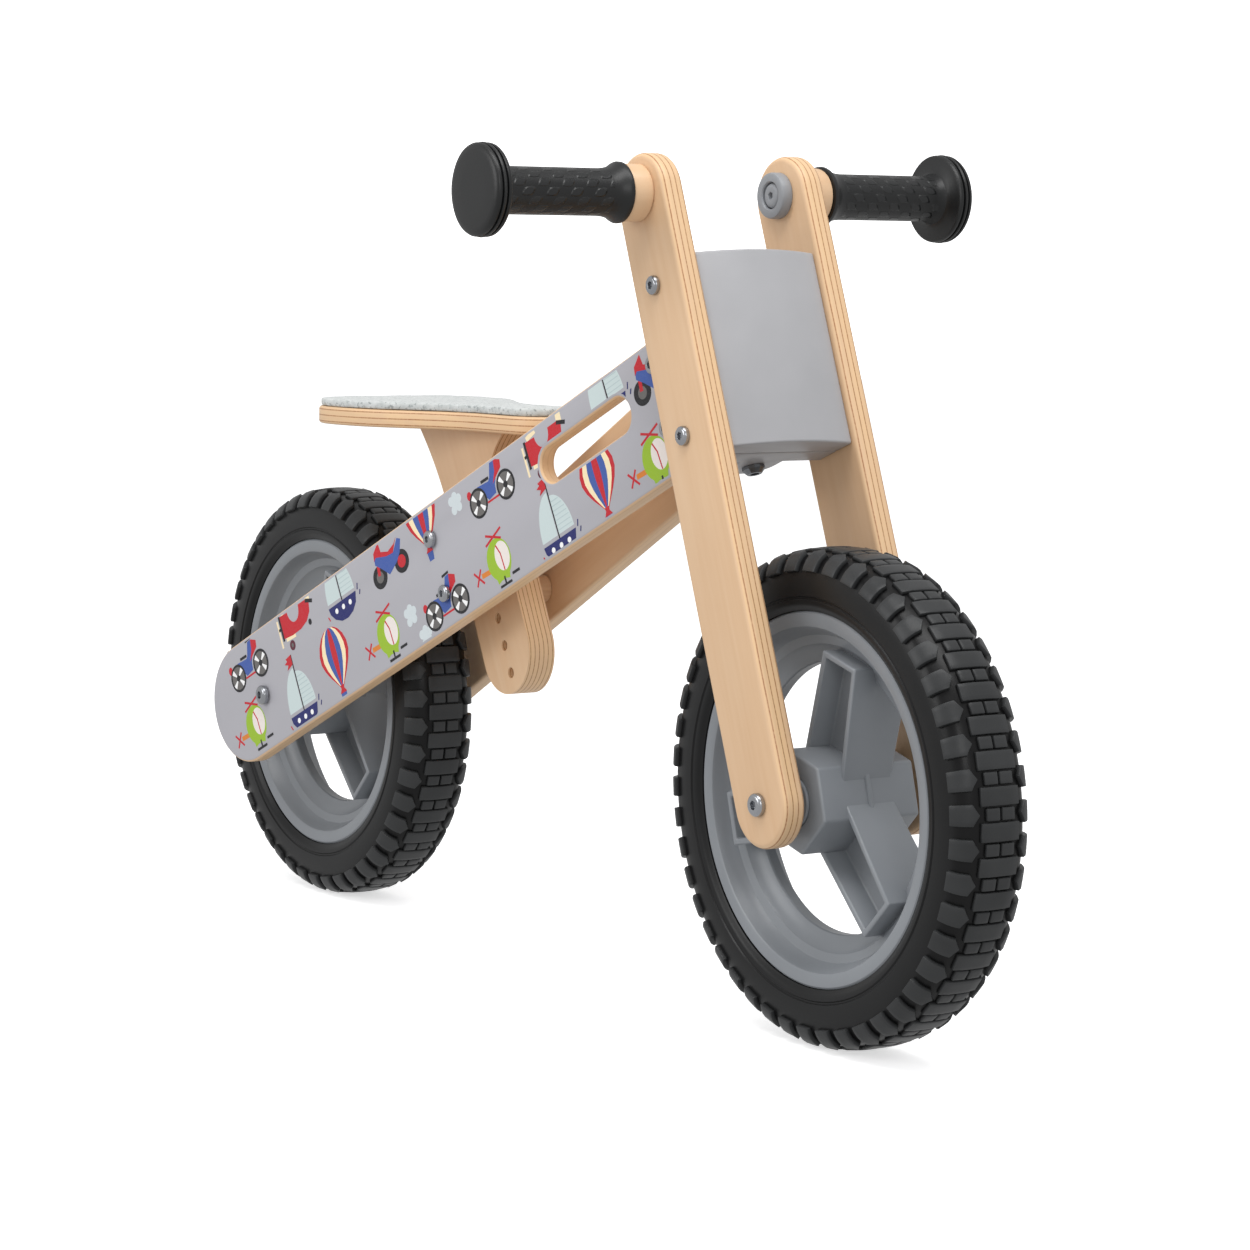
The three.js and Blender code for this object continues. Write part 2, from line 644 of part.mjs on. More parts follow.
function rimRing() {
  const half = RIM_HALF_WIDTH;
  const lipFoot = half - 3.4;
  const lipTop = half - 2;
  return turned(
    [
      [RIM_INNER_RADIUS, -half],
      [RIM_RADIUS, -half],
      [RIM_RADIUS, -lipTop],
      [RIM_SEAT_RADIUS, -lipFoot],
      [RIM_SEAT_RADIUS, lipFoot],
      [RIM_RADIUS, lipTop],
      [RIM_RADIUS, half],
      [RIM_INNER_RADIUS, half],
      [RIM_INNER_RADIUS - 4, half / 2],
      [RIM_STEP_RADIUS, half / 2 - 1],
      [RIM_HOLE_RADIUS, RIM_WEB_HALF],
      [RIM_HOLE_RADIUS, -RIM_WEB_HALF],
      [RIM_STEP_RADIUS, 1 - half / 2],
      [RIM_INNER_RADIUS - 4, -half / 2],
      [RIM_INNER_RADIUS, -half],
    ],
    WHEEL_STEPS,
  );
}

// A bar along +X whose section grows or shrinks evenly from its start to its end.
function taperedBar(start, end, startSize, endSize) {
  const bar = new THREE.BoxGeometry(end - start, 2, 2).translate((start + end) / 2, 0, 0);
  const corners = bar.attributes.position;
  for (let i = 0; i < corners.count; i++) {
    const share = (corners.getX(i) - start) / (end - start);
    const depth = THREE.MathUtils.lerp(startSize.depth, endSize.depth, share);
    const width = THREE.MathUtils.lerp(startSize.width, endSize.width, share);
    corners.setY(i, corners.getY(i) * depth);
    corners.setZ(i, corners.getZ(i) * width);
  }
  return toSolid(bar);
}

// One spoke, built towards +X: a box section with a deep pocket in each side.
function spoke(angle) {
  const outer = RIM_HOLE_RADIUS + 6;
  const box = taperedBar(0, outer, SPOKE_HUB_SIZE, SPOKE_RIM_SIZE);
  const thinner = (size) => ({ depth: 12, width: size.width - SPOKE_WALL });
  const opening = taperedBar(HUB_RADIUS, outer - 9, thinner(SPOKE_HUB_SIZE), thinner(SPOKE_RIM_SIZE));
  const pockets = [-1, 1].map((side) => opening.translate(0, side * (12 + SPOKE_RIB / 2), 0));
  const turn = new THREE.Matrix4().makeRotationY(-THREE.MathUtils.degToRad(angle));
  return placed(cut(box, ...pockets), turn);
}

function rim() {
  const flat = rodY(HUB_RADIUS, -HUB_HALF_LENGTH, HUB_HALF_LENGTH, 0, 0, 6);
  const hub = placed(flat, new THREE.Matrix4().makeRotationY(THREE.MathUtils.degToRad(HUB_TURN)));
  const bore = rodY(HUB_BORE, -HUB_HALF_LENGTH - 1, HUB_HALF_LENGTH + 1);
  return cut(join(rimRing(), hub, ...SPOKE_ANGLES.map(spoke)), bore);
}

// A flanged bush pressed into one end of the hub.
function bush(side) {
  const end = HUB_HALF_LENGTH;
  const body = sleeve(HUB_BORE - FIT_GAP, AXLE_RADIUS + HOLE_CLEARANCE, end - 14, end + 1.5);
  const flange = sleeve(14, AXLE_RADIUS + HOLE_CLEARANCE, end + FIT_GAP, end + 1.5);
  return sided(join(body, flange), side);
}

function axleSpacer(side, inner) {
  const start = HUB_HALF_LENGTH + 1.5 + FIT_GAP;
  return sided(sleeve(9, AXLE_RADIUS + HOLE_CLEARANCE, start, inner - FIT_GAP), side);
}

// ---------------------------------------------------------------- assembly

const bike = new THREE.Group();

const frame = new THREE.Group();
bike.add(frame);
for (const [name, side] of SIDES) {
  frame.add(piece(`frame_panel_${name}`, framePanel(side), greyPaint()));
}
frame.add(piece("neck_block", neckBlock(), birch()));
for (const level of ["upper", "lower"]) {
  const neck = neckBoltPoint(level);
  frame.add(piece(`neck_bolt_${level}`, crossBolt(BOLT_RADIUS, neck, HEAD_RADIUS, HEAD_HEIGHT), steel()));
  frame.add(piece(`neck_nut_${level}`, crossNut(BOLT_RADIUS, neck, HEAD_RADIUS, 6), steel()));
  frame.add(piece(`seat_bolt_${level}`, seatFastener(-1, level), steel()));
  frame.add(piece(`seat_nut_${level}`, seatFastener(1, level), steel()));
  for (const [name, side] of SIDES) {
    frame.add(piece(`seat_spacer_${level}_${name}`, seatSpacer(side, level), plastic()));
  }
}
const rearAxle = new THREE.Vector3(REAR_X, 0, AXLE_Z);
frame.add(piece("rear_axle_bolt", crossBolt(AXLE_RADIUS, rearAxle, AXLE_HEAD_RADIUS, 4), steel()));
frame.add(piece("rear_axle_nut", crossNut(AXLE_RADIUS, rearAxle, AXLE_HEAD_RADIUS, 7), steel()));

const seat = new THREE.Group();
bike.add(seat);
seat.add(piece("seat_post", seatPost(), birch()));
seat.add(piece("seat_board", seatBoard(), birch()));
seat.add(piece("seat_pad", seatPad(), felt()));
for (const [name, x] of Object.entries(seatScrewX)) {
  seat.add(piece(`seat_screw_${name}`, seatScrew(x), steel()));
}

const fork = new THREE.Group();
fork.position.set(FRONT_X, 0, AXLE_Z);
fork.rotation.y = -FORK_RAKE;
bike.add(fork);
fork.add(piece("head_front_board", headFrontBoard(), greyPaint()));
const lowerPlate = headPlate(HEAD_BOTTOM, LEG_BOLT_HEIGHTS.lower);
const upperPlate = headPlate(HEAD_TOP - HEAD_PLATE_THICKNESS, LEG_BOLT_HEIGHTS.upper);
fork.add(piece("head_bottom_plate", lowerPlate, greyPaint()));
fork.add(piece("head_top_plate", upperPlate, greyPaint()));
fork.add(piece("steering_bolt", steeringBolt(), steel()));
fork.add(piece("steering_nut", steeringNut(), steel()));
const lowerWasherBottom = HEAD_BOTTOM + HEAD_PLATE_THICKNESS + 0.2;
const upperWasherBottom = HEAD_TOP - HEAD_PLATE_THICKNESS - NECK_WASHER;
fork.add(piece("steering_washer_lower", steeringWasher(lowerWasherBottom), plastic()));
fork.add(piece("steering_washer_upper", steeringWasher(upperWasherBottom), plastic()));
const axleSeat = LEG_OUTER_Y + FIT_GAP;
const frontBolt = headedBolt(AXLE_RADIUS, -axleSeat - 3, axleSeat, AXLE_HEAD_RADIUS, 4);
const frontNut = capNut(AXLE_RADIUS + FIT_GAP, NUT_DEPTH, axleSeat, AXLE_HEAD_RADIUS, 7);
fork.add(piece("front_axle_bolt", sided(frontBolt, -1), steel()));
fork.add(piece("front_axle_nut", frontNut, steel()));
for (const [name, side] of SIDES) {
  fork.add(piece(`fork_leg_${name}`, forkLeg(side), birch()));
  fork.add(piece(`handlebar_stub_${name}`, handlebarStub(side), birch()));
  fork.add(piece(`handlebar_cap_${name}`, handlebarCap(side), plastic()));
  fork.add(piece(`handlebar_bolt_${name}`, handlebarBolt(side), steel()));
  fork.add(piece(`grip_${name}`, grip(side), rubber()));
  fork.add(piece(`front_spacer_${name}`, axleSpacer(side, LEG_INNER_Y), plastic()));
  for (const level of ["upper", "lower"]) {
    fork.add(piece(`leg_bolt_${level}_${name}`, legBolt(side, level), steel()));
  }
}

for (const [name, x] of [
  ["front", FRONT_X],
  ["rear", REAR_X],
]) {
  const wheel = new THREE.Group();
  wheel.position.set(x, 0, AXLE_Z);
  bike.add(wheel);
  wheel.add(piece(`${name}_tyre`, tyre(), foam()));
  wheel.add(piece(`${name}_rim`, rim(), plastic()));
  for (const [sideName, side] of SIDES) {
    wheel.add(piece(`${name}_bush_${sideName}`, bush(side), plastic()));
    if (name === "rear") {
      const spacer = axleSpacer(side, PANEL_OUTER_Y - PANEL_DEPTH_Y - REAR_SPACER_SLANT);
      wheel.add(piece(`rear_spacer_${sideName}`, spacer, plastic()));
    }
  }
}

export default bike;
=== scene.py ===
# %% [markdown]
# # A wooden balance bike
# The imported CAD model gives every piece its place. This lesson gives each piece its real shape and
# finish: rounded plywood, moulded plastic, foam rubber, felt and bright screws.

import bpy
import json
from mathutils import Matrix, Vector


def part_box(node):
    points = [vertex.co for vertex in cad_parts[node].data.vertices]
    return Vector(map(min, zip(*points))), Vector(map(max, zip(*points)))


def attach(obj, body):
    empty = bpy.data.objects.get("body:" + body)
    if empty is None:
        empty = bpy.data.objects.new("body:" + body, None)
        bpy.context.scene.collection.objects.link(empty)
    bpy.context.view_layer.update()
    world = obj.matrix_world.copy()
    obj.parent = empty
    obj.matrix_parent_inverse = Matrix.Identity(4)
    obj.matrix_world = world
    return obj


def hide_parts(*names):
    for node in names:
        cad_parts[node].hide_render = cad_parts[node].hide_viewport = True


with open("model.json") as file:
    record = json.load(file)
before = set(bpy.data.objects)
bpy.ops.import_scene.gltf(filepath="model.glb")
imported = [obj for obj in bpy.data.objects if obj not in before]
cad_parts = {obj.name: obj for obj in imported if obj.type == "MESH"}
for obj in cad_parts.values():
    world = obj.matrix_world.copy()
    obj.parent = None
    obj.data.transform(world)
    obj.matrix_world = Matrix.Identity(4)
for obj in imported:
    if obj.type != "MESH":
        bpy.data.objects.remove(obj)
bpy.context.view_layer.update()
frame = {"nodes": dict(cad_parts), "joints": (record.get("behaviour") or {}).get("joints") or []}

# %% Tools
import json
import math

import bmesh
import bpy
from mathutils import Euler, Matrix, Vector

MM = 0.001
joints = {joint["name"]: joint for joint in frame["joints"]}

# %% [markdown]
# The bike has slanted frames of its own: one for each panel, one for the fork and one for the seat
# post. Their slopes are the directions of the joints, so they're read from the joints. A piece is
# made upright at the origin, where it's easy to measure, and is then stood in its frame.

# %% Frames of the bike
front_low, front_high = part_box("front_tyre")
rear_low, rear_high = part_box("rear_tyre")
FRONT = (front_low + front_high) / 2
REAR = (rear_low + rear_high) / 2
WHEEL_R = (front_high.z - front_low.z) / 2
steer_axis = Vector(joints["steering"]["axis"])
slide_axis = Vector(joints["seat_slide"]["axis"])
RAKE = math.atan2(-steer_axis.x, steer_axis.z)
SLOPE = math.atan2(-slide_axis.x, slide_axis.z)
fork_frame = Matrix.Translation(FRONT) @ Matrix.Rotation(-RAKE, 4, "Y")
side_frame = Matrix.Translation(REAR) @ Matrix.Rotation(-SLOPE, 4, "Y")
SPLAY = math.radians(5.03)
PANEL_OUT = 63.8 * MM


def panel_frame(side):
    """A panel's frame: x runs along it from the rear axle, and its outer face is y = 0."""
    turn = Euler((0, -SLOPE, -side * SPLAY), "XYZ").to_matrix().to_4x4()
    return Matrix.Translation((REAR.x, side * PANEL_OUT, REAR.z)) @ turn


print("rake", round(math.degrees(RAKE), 2), "slope", round(math.degrees(SLOPE), 2))

# %% [markdown]
# Blender's operators act on whatever is selected, and the CAD pieces arrive selected. These small
# helpers pick out one object, and apply a modifier or a placement to it.

# %% Hands
def take(*pieces):
    """Selects only these objects, in object mode, and makes the first one active."""
    if bpy.context.object and bpy.context.object.mode != "OBJECT":
        bpy.ops.object.mode_set(mode="OBJECT")
    bpy.ops.object.select_all(action="DESELECT")
    for piece in pieces:
        piece.select_set(True)
    bpy.context.view_layer.objects.active = pieces[0]


def name_it(name):
    """Names the new active object and its mesh."""
    piece = bpy.context.object
    piece.name = name
    piece.data.name = name
    return piece


def modify(piece, kind, **settings):
    """Adds a modifier with its settings and applies it."""
    take(piece)
    bpy.ops.object.modifier_add(type=kind)
    modifier = piece.modifiers[-1]
    for setting, value in settings.items():
        setattr(modifier, setting, value)
    bpy.ops.object.modifier_apply(modifier=modifier.name)
    return piece


def settle(piece, place=None):
    """Stands a piece in its frame and applies that, so its object sits unturned at the origin."""
    if place is not None:
        piece.matrix_world = place @ piece.matrix_world
    take(piece)
    bpy.ops.object.transform_apply(location=True, rotation=True, scale=True)
    return piece


def mend(piece, distance=0.01 * MM):
    """Merges doubled points and turns the faces outwards."""
    take(piece)
    bpy.ops.object.mode_set(mode="EDIT")
    bpy.ops.mesh.select_all(action="SELECT")
    bpy.ops.mesh.remove_doubles(threshold=distance)
    bpy.ops.mesh.normals_make_consistent(inside=False)
    bpy.ops.object.mode_set(mode="OBJECT")
    return piece


def smooth(piece, angle=35):
    """Shades a piece smooth, apart from edges sharper than the angle."""
    take(piece)
    bpy.ops.object.shade_smooth_by_angle(angle=math.radians(angle))
    return piece


def soften(piece, width, segments=3, angle=40):
    """Rounds the sharp edges of a piece."""
    modify(piece, "BEVEL", width=width, segments=segments, limit_method="ANGLE",
           angle_limit=math.radians(angle), harden_normals=False, use_clamp_overlap=True)
    return smooth(piece)


def join_up(*pieces):
    """Joins pieces into the first one."""
    take(*pieces)
    bpy.ops.object.join()
    return bpy.context.object


def twin(piece, name):
    """A copy of a piece with a mesh of its own."""
    take(piece)
    bpy.ops.object.duplicate(linked=False)
    return name_it(name)


def other_side(piece, name):
    """A mirrored copy, for the other side of the bike."""
    copy = twin(piece, name)
    copy.scale.y = -1
    settle(copy)
    return mend(copy)


print("hands ready")

# %% [markdown]
# Two ways of making a blank cover most of the bike. A board is an outline that is extruded to its
# thickness. A turned piece is a profile swept once round an axis, as on a lathe.

# %% Board
def board(name, outline, start, end, axis="Y"):
    """An (across, up) outline, extruded along Y or Z from start to end."""
    bpy.ops.object.select_all(action="DESELECT")
    bpy.ops.mesh.primitive_circle_add(vertices=len(outline), radius=1, fill_type="NGON")
    piece = name_it(name)
    for vertex, (a, b) in zip(piece.data.vertices, outline):
        vertex.co = (a, start, b) if axis == "Y" else (a, b, start)
    shift = (0, end - start, 0) if axis == "Y" else (0, 0, end - start)
    bpy.ops.object.mode_set(mode="EDIT")
    bpy.ops.mesh.select_all(action="SELECT")
    bpy.ops.mesh.extrude_region_move(TRANSFORM_OT_translate={"value": shift})
    bpy.ops.object.mode_set(mode="OBJECT")
    return mend(piece)


def arc(centre, radius, start, end, steps=16):
    """Points on an arc from start to end degrees."""
    angles = [math.radians(start + (end - start) * i / steps) for i in range(steps + 1)]
    return [(centre[0] + radius * math.cos(a), centre[1] + radius * math.sin(a)) for a in angles]


def corner(before, at, after, steps=8):
    """A rounded corner: a quadratic curve from before to after, pulled towards at."""
    before, at, after = Vector(before), Vector(at), Vector(after)
    shares = [i / steps for i in range(steps + 1)]
    return [tuple(before.lerp(at, t).lerp(at.lerp(after, t), t)) for t in shares]


def cut_by(piece, cutter):
    """Cuts one piece by another, which is then removed."""
    modify(piece, "BOOLEAN", object=cutter, operation="DIFFERENCE", solver="EXACT")
    bpy.data.objects.remove(cutter)
    return piece


def cut_round(piece, radius, depth, at, sides=32):
    """Cuts a round hole along Y, centred on that place. With six sides it's a hexagonal socket."""
    bpy.ops.object.select_all(action="DESELECT")
    bpy.ops.mesh.primitive_cylinder_add(vertices=sides, radius=radius, depth=depth,
                                        location=at, rotation=(math.pi / 2, 0, 0))
    return cut_by(piece, settle(name_it("round_cutter")))


print("board tools ready")

# %% Turned piece
def in_mm(points, flip=1):
    """Points given in millimetres, as metres. A flip of -1 mirrors the second number."""
    return [(a * MM, flip * b * MM) for a, b in points]


def turned(name, profile, steps=64, place=None):
    """A profile of (radius, y) points swept round the Y axis. It may be a ring or start on the axis."""
    bpy.ops.object.select_all(action="DESELECT")
    bpy.ops.mesh.primitive_circle_add(vertices=len(profile), radius=1, fill_type="NOTHING")
    piece = name_it(name)
    for vertex, (radius, y) in zip(piece.data.vertices, profile):
        vertex.co = (radius, y, 0)
    modify(piece, "SCREW", axis="Y", angle=2 * math.pi, steps=steps, render_steps=steps,
           use_merge_vertices=True, merge_threshold=0.01 * MM)
    if profile[0][0] == 0 and profile[-1][0] == 0:
        take(piece)
        bpy.ops.object.mode_set(mode="EDIT")
        bpy.ops.mesh.select_all(action="SELECT")
        bpy.ops.mesh.remove_doubles(threshold=0.01 * MM)
        bpy.ops.mesh.dissolve_degenerate(threshold=0.001 * MM)
        bpy.ops.mesh.select_all(action="DESELECT")
        bpy.ops.mesh.select_loose()
        bpy.ops.mesh.delete(type="EDGE")
        bpy.ops.object.mode_set(mode="OBJECT")
    mend(piece)
    if place is not None:
        settle(piece, place)
    return smooth(piece)


print("lathe ready")

# %% Handing a piece over
def finish(piece, body, slot, material, *nodes):
    """Gives a piece its material and body, and hides the CAD nodes that it stands for."""
    piece.data.materials.clear()
    piece.data.materials.append(material)
    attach(piece, body)
    if nodes:
        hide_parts(*nodes)
    return piece


print("piece tools ready")

# %% [markdown]
# ## Finishes
# Each material is a small chain of nodes. The helper below adds a node, sets its inputs and gives it
# back, so that a recipe reads from top to bottom. Colours are given as display values from 0 to 255.

# %% Recipe tools
def tone(red, green, blue):
    """A display colour as the linear colour that nodes use."""
    def linear(value):
        value /= 255
        return value / 12.92 if value <= 0.04045 else ((value + 0.055) / 1.055) ** 2.4
    return (linear(red), linear(green), linear(blue), 1)


class Recipe:
    """A material's nodes, added one by one."""

    def __init__(self, name, roughness=0.5, metallic=0.0, specular=0.5):
        self.material = bpy.data.materials.new(name)
        self.material.use_nodes = True
        self.tree = self.material.node_tree
        self.shader = self.tree.nodes["Principled BSDF"]
        self.shader.inputs["Roughness"].default_value = roughness
        self.shader.inputs["Metallic"].default_value = metallic
        self.shader.inputs["Specular IOR Level"].default_value = specular

    def add(self, kind, *values, **settings):
        """A node: values fill its inputs in order, None leaves one alone, and a socket is linked."""
        made = self.tree.nodes.new("ShaderNode" + kind)
        for setting, value in settings.items():
            setattr(made, setting, value)
        for socket, value in zip(made.inputs, values):
            if isinstance(value, bpy.types.NodeSocket):
                self.tree.links.new(value, socket)
            elif value is not None:
                socket.default_value = value
        return made.outputs[0]

    def place(self, at=(0, 0, 0), turn=(0, 0, 0)):
        """Object coordinates seen from a frame at that place and turn."""
        where = self.add("TexCoord").node.outputs["Object"]
        return self.add("Mapping", where, at, turn, (1, 1, 1), vector_type="TEXTURE")

    def stretch(self, vector, scale):
        return self.add("VectorMath", vector, scale, operation="MULTIPLY")

    def split(self, vector):
        return self.add("SeparateXYZ", vector).node.outputs

    def math(self, operation, a, b=None, c=None):
        return self.add("Math", a, b, c, operation=operation)

    def noise(self, vector, scale, detail=3.0, rough=0.5):
        return self.add("TexNoise", vector, None, scale, detail, rough)

    def ramp(self, value, low, high, start=0.0, end=1.0):
        return self.add("MapRange", value, low, high, start, end)

    def mix(self, share, first, second):
        made = self.tree.nodes.new("ShaderNodeMix")
        made.data_type = "RGBA"
        for index, value in ((0, share), (6, first), (7, second)):
            if isinstance(value, bpy.types.NodeSocket):
                self.tree.links.new(value, made.inputs[index])
            else:
                made.inputs[index].default_value = value
        return made.outputs[2]

    def bump(self, height, depth, strength=1.0, under=None):
        made = self.tree.nodes.new("ShaderNodeBump")
        made.inputs["Strength"].default_value = strength
        made.inputs["Distance"].default_value = depth
        self.tree.links.new(height, made.inputs["Height"])
        if under is not None:
            self.tree.links.new(under, made.inputs["Normal"])
        return made.outputs[0]

    def wear(self, colour=None, roughness=None, normal=None):
        for name, value in (("Base Color", colour), ("Roughness", roughness), ("Normal", normal)):
            if isinstance(value, bpy.types.NodeSocket):
                self.tree.links.new(value, self.shader.inputs[name])
            elif value is not None:
                self.shader.inputs[name].default_value = value
        return self.material


print("recipe tools ready")

# %% [markdown]
# Plywood is the finish that carries the bike. Its broad faces show one birch veneer, with soft grain
# along its length. Wherever the edge is rounded or cut, the buried veneers come out as
# stripes: wide pale ones along the grain, and thin brown ones of end grain between them. So the colour
# depends on how deep a point lies below the face, and one recipe serves every board.

# %% Plywood
BIRCH = tone(219, 184, 147)
BIRCH_DARK = tone(213, 175, 136)
BIRCH_PALE = tone(226, 194, 159)
EDGE_PALE = tone(228, 192, 148)
EDGE_BROWN = tone(160, 106, 64)


def plywood(name, at, turn, half, pitch, middle=0.0, across="Y", printed=0, lines=1.0):
    """Plywood whose grain runs along X of the frame with that place and turn.

    half is half the board's thickness, middle is how far its middle lies from the frame's, and pitch
    is the thickness of two veneers. printed is the side, -1 or 1, that carries the grey laminate, and
    lines is how dark the edge stripes are.
    """
    r = Recipe(name, roughness=0.42)
    local = r.place(at, turn)
    parts = r.split(local)
    level = parts[{"Y": 1, "Z": 2}[across]]
    out = r.math("ABSOLUTE", r.math("SUBTRACT", r.math("ABSOLUTE", level), middle))
    depth = r.math("SUBTRACT", half, out)
    fibre = r.noise(r.stretch(local, (9, 160, 160)), 1.0, 4.0, 0.55)
    cloud = r.noise(r.stretch(local, (6, 22, 22)), 1.0, 2.0, 0.5)
    face = r.mix(r.ramp(fibre, 0.3, 0.75), BIRCH, BIRCH_DARK)
    face = r.mix(r.ramp(cloud, 0.45, 0.75, 0, 0.5), face, BIRCH_PALE)
    sway = r.math("SUBTRACT", r.noise(r.stretch(local, (30, 30, 30)), 1.0), 0.5)
    layer = r.math("DIVIDE", r.math("ADD", depth, r.math("MULTIPLY", sway, 0.5 * MM)), pitch)
    stripe = r.ramp(r.math("PINGPONG", layer, 0.5), 0.37, 0.46)
    pores = r.noise(r.stretch(local, (700, 700, 700)), 1.0, 2.0)
    stripe = r.math("MULTIPLY", stripe, r.ramp(pores, 0.25, 0.6, 0.55 * lines, lines))
    veneer = r.mix(r.ramp(fibre, 0.3, 0.75), EDGE_PALE, BIRCH)
    edge = r.mix(stripe, veneer, EDGE_BROWN)
    colour = r.mix(r.ramp(depth, 0.45 * MM, 0.75 * MM), face, edge)
    rough = r.ramp(fibre, 0.2, 0.8, 0.36, 0.5)
    if printed:
        outward = r.math("MULTIPLY", level, float(printed))
        laminate = r.math("GREATER_THAN", outward, half - 0.3 * MM)
        grey = r.mix(r.ramp(cloud, 0.3, 0.7), tone(171, 170, 176), tone(175, 174, 180))
        colour = r.mix(laminate, colour, grey)
        rough = r.math("MULTIPLY_ADD", laminate, -0.1, rough)
    return r.wear(colour, rough, r.bump(fibre, 0.05 * MM, 0.35))


print("plywood recipe ready")

# %% [markdown]
# Each board gets its own copy of the recipe, because the stripes are measured from that board's faces.
# The legs and the neck share the fork's slope, the post has its own, and the seat lies flat. The
# panels' edges show their stripes only faintly, so theirs are turned down.

# %% Plywood boards
ALONG_FORK = (0, -math.pi / 2 - RAKE, 0)
ALONG_POST = (0, -math.pi / 2 - SLOPE, 0)
BOARD = 12 * MM
LEG_IN, LEG_OUT = 43.5 * MM, 58.5 * MM
LEG_VENEERS, POST_VENEERS, BOARD_VENEERS = 3.75 * MM, 3.33 * MM, 4 * MM
NECK_HALF, POST_THICK = 30 * MM, 20 * MM
PANEL_LINES = 0.22
seat_low, seat_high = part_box("seat_board")
seat_middle = (0, 0, (seat_low.z + seat_high.z) / 2)
fork_wood = plywood("birch_fork", FRONT, ALONG_FORK, (LEG_OUT - LEG_IN) / 2, LEG_VENEERS,
                    middle=(LEG_IN + LEG_OUT) / 2)
neck_wood = plywood("birch_neck", FRONT, ALONG_FORK, NECK_HALF, LEG_VENEERS)
post_wood = plywood("birch_post", REAR, ALONG_POST, POST_THICK / 2, POST_VENEERS)
seat_wood = plywood("birch_seat", seat_middle, (0, 0, 0), BOARD / 2, BOARD_VENEERS, across="Z")
panel_wood = {}
for word, side in (("right", -1), ("left", 1)):
    board_middle = panel_frame(side) @ Matrix.Translation((0, -side * BOARD / 2, 0))
    panel_wood[side] = plywood("laminate_" + word, board_middle.translation, (0, -SLOPE, -side * SPLAY),
                               BOARD / 2, BOARD_VENEERS, printed=side, lines=PANEL_LINES)
print("plywood finishes", len(panel_wood) + 4)

# %% [markdown]
# The other finishes are simpler. Turned birch has its grain across the bike. Paint, plastic and rubber
# are even in colour, so their character is in fine bumps and in gloss that isn't quite even. Zinc on
# the bolts is a clear metal with a little cloudiness.

# %% Turned birch
def solid_birch(name):
    """Birch that was turned from a bar, with its grain along Y."""
    r = Recipe(name, roughness=0.4)
    where = r.place()
    fibre = r.noise(r.stretch(where, (190, 12, 190)), 1.0, 4.0, 0.55)
    cloud = r.noise(r.stretch(where, (25, 8, 25)), 1.0, 2.0)
    colour = r.mix(r.ramp(fibre, 0.3, 0.75), BIRCH, BIRCH_DARK)
    colour = r.mix(r.ramp(cloud, 0.4, 0.8, 0, 0.6), colour, BIRCH_PALE)
    return r.wear(colour, r.ramp(fibre, 0.2, 0.8, 0.34, 0.48), r.bump(fibre, 0.05 * MM, 0.3))


bar_wood = solid_birch("birch_turned")
print("turned birch ready")

# %% Even finishes
def moulded(name, dark, light, rough, grain, depth, specular=0.5, metallic=0.0):
    """An even finish: two close colours in soft clouds, and a fine grain, that many lumps to a metre."""
    r = Recipe(name, metallic=metallic, specular=specular)
    where = r.place()
    cloud = r.noise(where, 35.0, 3.0)
    fine = r.noise(where, grain, 2.0, 0.6)
    colour = r.mix(r.ramp(cloud, 0.3, 0.7), dark, light)
    return r.wear(colour, r.ramp(cloud, 0.3, 0.7, rough - 0.04, rough + 0.04),
                  r.bump(fine, depth, 0.5))


grey_paint = moulded("satin_grey_paint", tone(164, 164, 167), tone(168, 168, 171), 0.36, 900.0, 0.02 * MM)
rim_plastic = moulded("grey_plastic", tone(130, 134, 139), tone(134, 138, 143), 0.32, 1800.0, 0.03 * MM)
cap_plastic = moulded("cap_plastic", tone(138, 141, 146), tone(146, 149, 153), 0.4, 1500.0, 0.02 * MM)
washer_plastic = moulded("white_plastic", tone(205, 205, 203), tone(212, 212, 210), 0.4, 1500.0, 0.02 * MM)
dull_steel = moulded("dull_steel", tone(120, 123, 128), tone(135, 138, 142), 0.38, 900.0, 0.02 * MM,
                     metallic=1.0)
zinc = moulded("zinc", tone(158, 160, 164), tone(178, 180, 184), 0.27, 600.0, 0.02 * MM, metallic=1.0)
print("even finishes ready")

# %% Tyre rubber
def foam_finish(name):
    """Black foam rubber. The attribute "proud" is 1 on top of the tread and 0 down in its grooves, which get
    painted shade.
    """
    r = Recipe(name, roughness=0.34, specular=0.24)
    where = r.place()
    proud = r.add("Attribute", attribute_name="proud", attribute_type="GEOMETRY").node.outputs["Fac"]
    cloud = r.noise(where, 30.0, 3.0)
    fine = r.noise(where, 1100.0, 2.0, 0.6)
    block_top_tone = r.mix(r.ramp(cloud, 0.3, 0.7), tone(48, 49, 50), tone(57, 58, 59))
    # Painted shade: the grooves and the wall are painted near black, and the tops of the blocks paler.
    colour = r.mix(proud, tone(12, 12, 13), block_top_tone)
    rough = r.math("ADD", r.ramp(cloud, 0.3, 0.7, 0.3, 0.36), r.math("MULTIPLY", proud, 0.06))
    return r.wear(colour, rough, r.bump(fine, 0.07 * MM, 0.5))


foam_rubber = foam_finish("tyre_foam")
print("tyre rubber ready")

